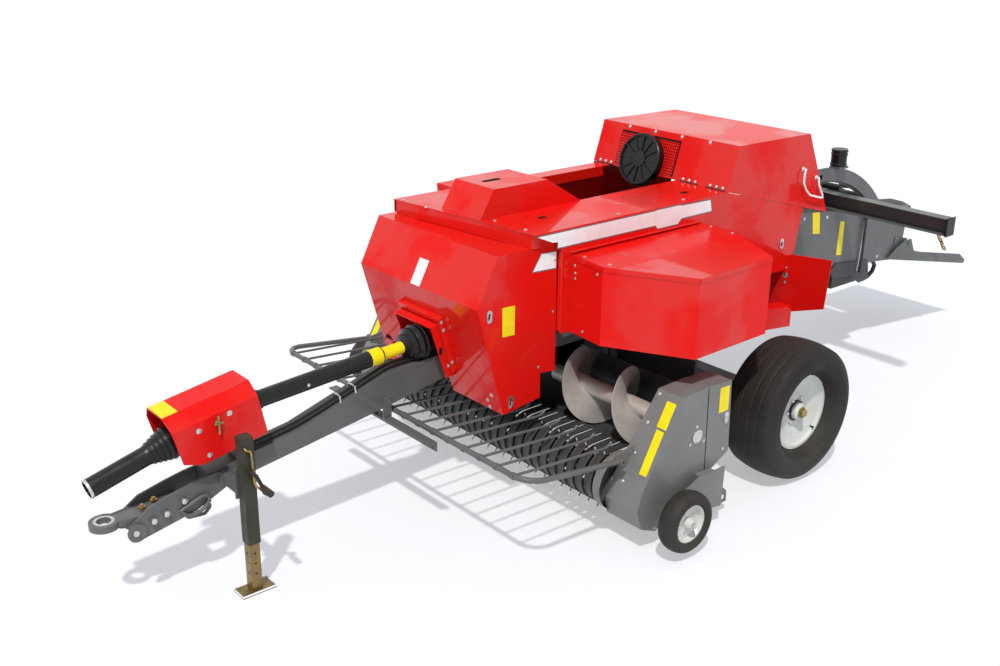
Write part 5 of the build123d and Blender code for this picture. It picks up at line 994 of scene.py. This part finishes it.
def arch(drop):
    """Outline of a curved band whose front lies a little lower than the outermost one's."""
    front, middle = (ARCH_FRONT[0], ARCH_FRONT[1] - drop), (ARCH_MIDDLE[0], ARCH_MIDDLE[1] - drop)
    x, z, radius = arc_through(front, middle, ARCH_REAR)
    start = atan2(front[1] - z, front[0] - x)
    end = atan2(ARCH_REAR[1] - z, ARCH_REAR[0] - x)
    turns = [start + (end - start) * step / ARCH_STEPS for step in range(ARCH_STEPS + 1)]
    outer = [(x + radius * cos(t), z + radius * sin(t)) for t in turns]
    inner = [(x + (radius - BAND) * cos(t), z + (radius - BAND) * sin(t)) for t in reversed(turns[:-1])]
    return outer + [on_chamber(-1.960), on_chamber(-1.870)] + inner


hump = [on_chamber(-1.964), (-1.990, 1.094), (-2.180, 1.072), (-2.330, 1.030), (-2.452, 0.976), (-2.440, 0.942),
        on_chamber(-2.344)]
bands = []
for side in (1, -1):
    inward = LEFT * -side
    bands.append(side_plate(arch(0.0), side * 0.292, inward * 0.010))
    bands.append(side_plate(arch(0.012), side * 0.262, inward * 0.010))
    bands.append(side_plate(hump, side * 0.250, inward * 0.014))
bands += [box(low, high) for low, high in (
    ((-1.260, -0.292, 1.345), (-1.230, 0.292, 1.375)), ((-1.960, -0.292, 1.070), (-1.930, 0.292, 1.085)),
    ((-2.430, -0.250, 0.950), (-2.400, 0.250, 0.965)), ((-1.480, 0.252, 1.396), (-1.380, 0.330, 1.410)),
)]
piece("density_bands", bands, GREY, bevel=0.001, replaces=["density_frame"])
roller = [(0, -0.24), (0.022, -0.24), (0.022, 0.24), (0, 0.24)]
works = [box((-1.395, -0.180, 1.112), (-1.270, 0.180, 1.235)),
         box((-1.700, -0.060, 1.085), (-1.510, 0.060, 1.180))]
works += [lathe(roller, at(x, 0, z), LEFT, 20) for x, z in ((-1.330, 1.262), (-1.560, 1.235), (-1.780, 1.150))]
piece("density_works", works, CHARCOAL_AND_PAINTED_SHADE, bevel=0.003)
side_rod = tube([at(-1.789, 0.3095, 1.000), at(-1.754, 0.3095, 0.641)], 0.0055, 10)
piece("side_rod", side_rod, ZINC)
caps = [box((-1.497, y - 0.007, 1.114), (-1.404, y + 0.007, 1.231)) for y in (1.093, -1.093)]
piece("beam_caps", caps, BLACK, bevel=0.006)

# Needle yoke under the chamber: hooks and housing

hook = [(-1.960, 0.640), (-2.030, 0.645), (-2.095, 0.628), (-2.125, 0.590), (-2.105, 0.548), (-2.050, 0.520),
        (-1.985, 0.512)]
hooks = [tube([at(x, side * 0.215, z) for x, z in hook], 0.015, 12) for side in (1, -1)]
piece("yoke_hooks", hooks, CHARCOAL_AND_PAINTED_SHADE)
piece("yoke_housing", box((-1.990, -0.200, 0.520), (-1.600, 0.225, 0.600)), CHARCOAL_AND_PAINTED_SHADE, bevel=0.006)

# Springs of the density frame

COILS, COIL_STEPS, COIL_RADIUS, COIL_RUN, COIL_DROP = 9, 12, 0.024, 0.0016, 0.0003
springs = []
for side in (1, -1):
    coil = []
    for step in range(COILS * COIL_STEPS):
        turn = tau * step / COIL_STEPS
        coil.append(at(-1.60 - COIL_RUN * step, side * (0.215 + COIL_RADIUS * cos(turn)),
                       1.255 - COIL_DROP * step + COIL_RADIUS * sin(turn)))
    springs.append(tube(coil, 0.005, 6))
piece("density_springs", springs, CHARCOAL_AND_PAINTED_SHADE)

# Floor, light and camera

FLOOR_HALF, FLOOR_GLOW = 90, 0.42
SKY_STRENGTH = 0.62
SUN_STRENGTH, SUN_ANGLE, SUN_TRAVEL = 2.7, radians(2.2), Vector((-0.442, -0.406, -1.0))
WHITE_LIGHT = (1, 1, 1, 1)


def seen_rays(tree):
    """One for rays that show the background: straight to the camera, mirrored or let through."""
    rays = add(tree, "LightPath")
    direct = add(tree, "Math", {"operation": "ADD", "use_clamp": True},
                 {0: (rays, "Is Camera Ray"), 1: (rays, "Is Glossy Ray")})
    return add(tree, "Math", {"operation": "ADD", "use_clamp": True},
               {0: (direct, 0), 1: (rays, "Is Transmission Ray")})


mesh = bpy.data.meshes.new("studio_floor")
floor_corners = [(a * FLOOR_HALF, b * FLOOR_HALF, 0) for a, b in ((-1, -1), (1, -1), (1, 1), (-1, 1))]
mesh.from_pydata(floor_corners, [], [(0, 1, 2, 3)])
floor = placed("studio_floor", mesh)
paper = bpy.data.materials.new("white_paper_floor")
tree = empty_tree(paper)
matt = add(tree, "BsdfDiffuse", {"Color": linear("#eef0f5")})
glow = add(tree, "Emission", {"Color": WHITE_LIGHT, "Strength": 1.0})
share = add(tree, "Math", {"operation": "MULTIPLY", 1: FLOOR_GLOW}, {0: (seen_rays(tree), 0)})
blend = add(tree, "MixShader", {}, {0: (share, 0), 1: (matt, 0), 2: (glow, 0)})
add(tree, "OutputMaterial", {}, {"Surface": (blend, 0)})
mesh.materials.append(paper)

world = bpy.data.worlds.new("studio_sky")
scene = bpy.context.scene
scene.world = world
tree = empty_tree(world)
soft = add(tree, "Background", {"Color": linear("#e6eefc"), "Strength": SKY_STRENGTH})
plain = add(tree, "Background", {"Color": WHITE_LIGHT, "Strength": 1.0})
outer = add(tree, "MixShader", {}, {0: (seen_rays(tree), 0), 1: (soft, 0), 2: (plain, 0)})
add(tree, "OutputWorld", {}, {"Surface": (outer, 0)})

sun_data = bpy.data.lights.new("high_lamp", "SUN")
sun_data.energy = SUN_STRENGTH
sun_data.angle = SUN_ANGLE
sun_data.color = (1.0, 0.975, 0.94)
sun = placed("high_lamp", sun_data)
sun.rotation_euler = SUN_TRAVEL.to_track_quat("-Z", "Y").to_euler()

camera_data = bpy.data.cameras.new("front_left_view")
camera_data.sensor_width = 36.0
camera_data.lens = 41.391
camera_data.clip_end = 500.0
camera = placed("front_left_view", camera_data)
camera.location = (4.7394, 4.4814, 2.9841)
camera.rotation_euler = Euler((radians(69.429), radians(-0.537), radians(140.005)))
scene.camera = camera
scene.view_settings.view_transform = "Standard"
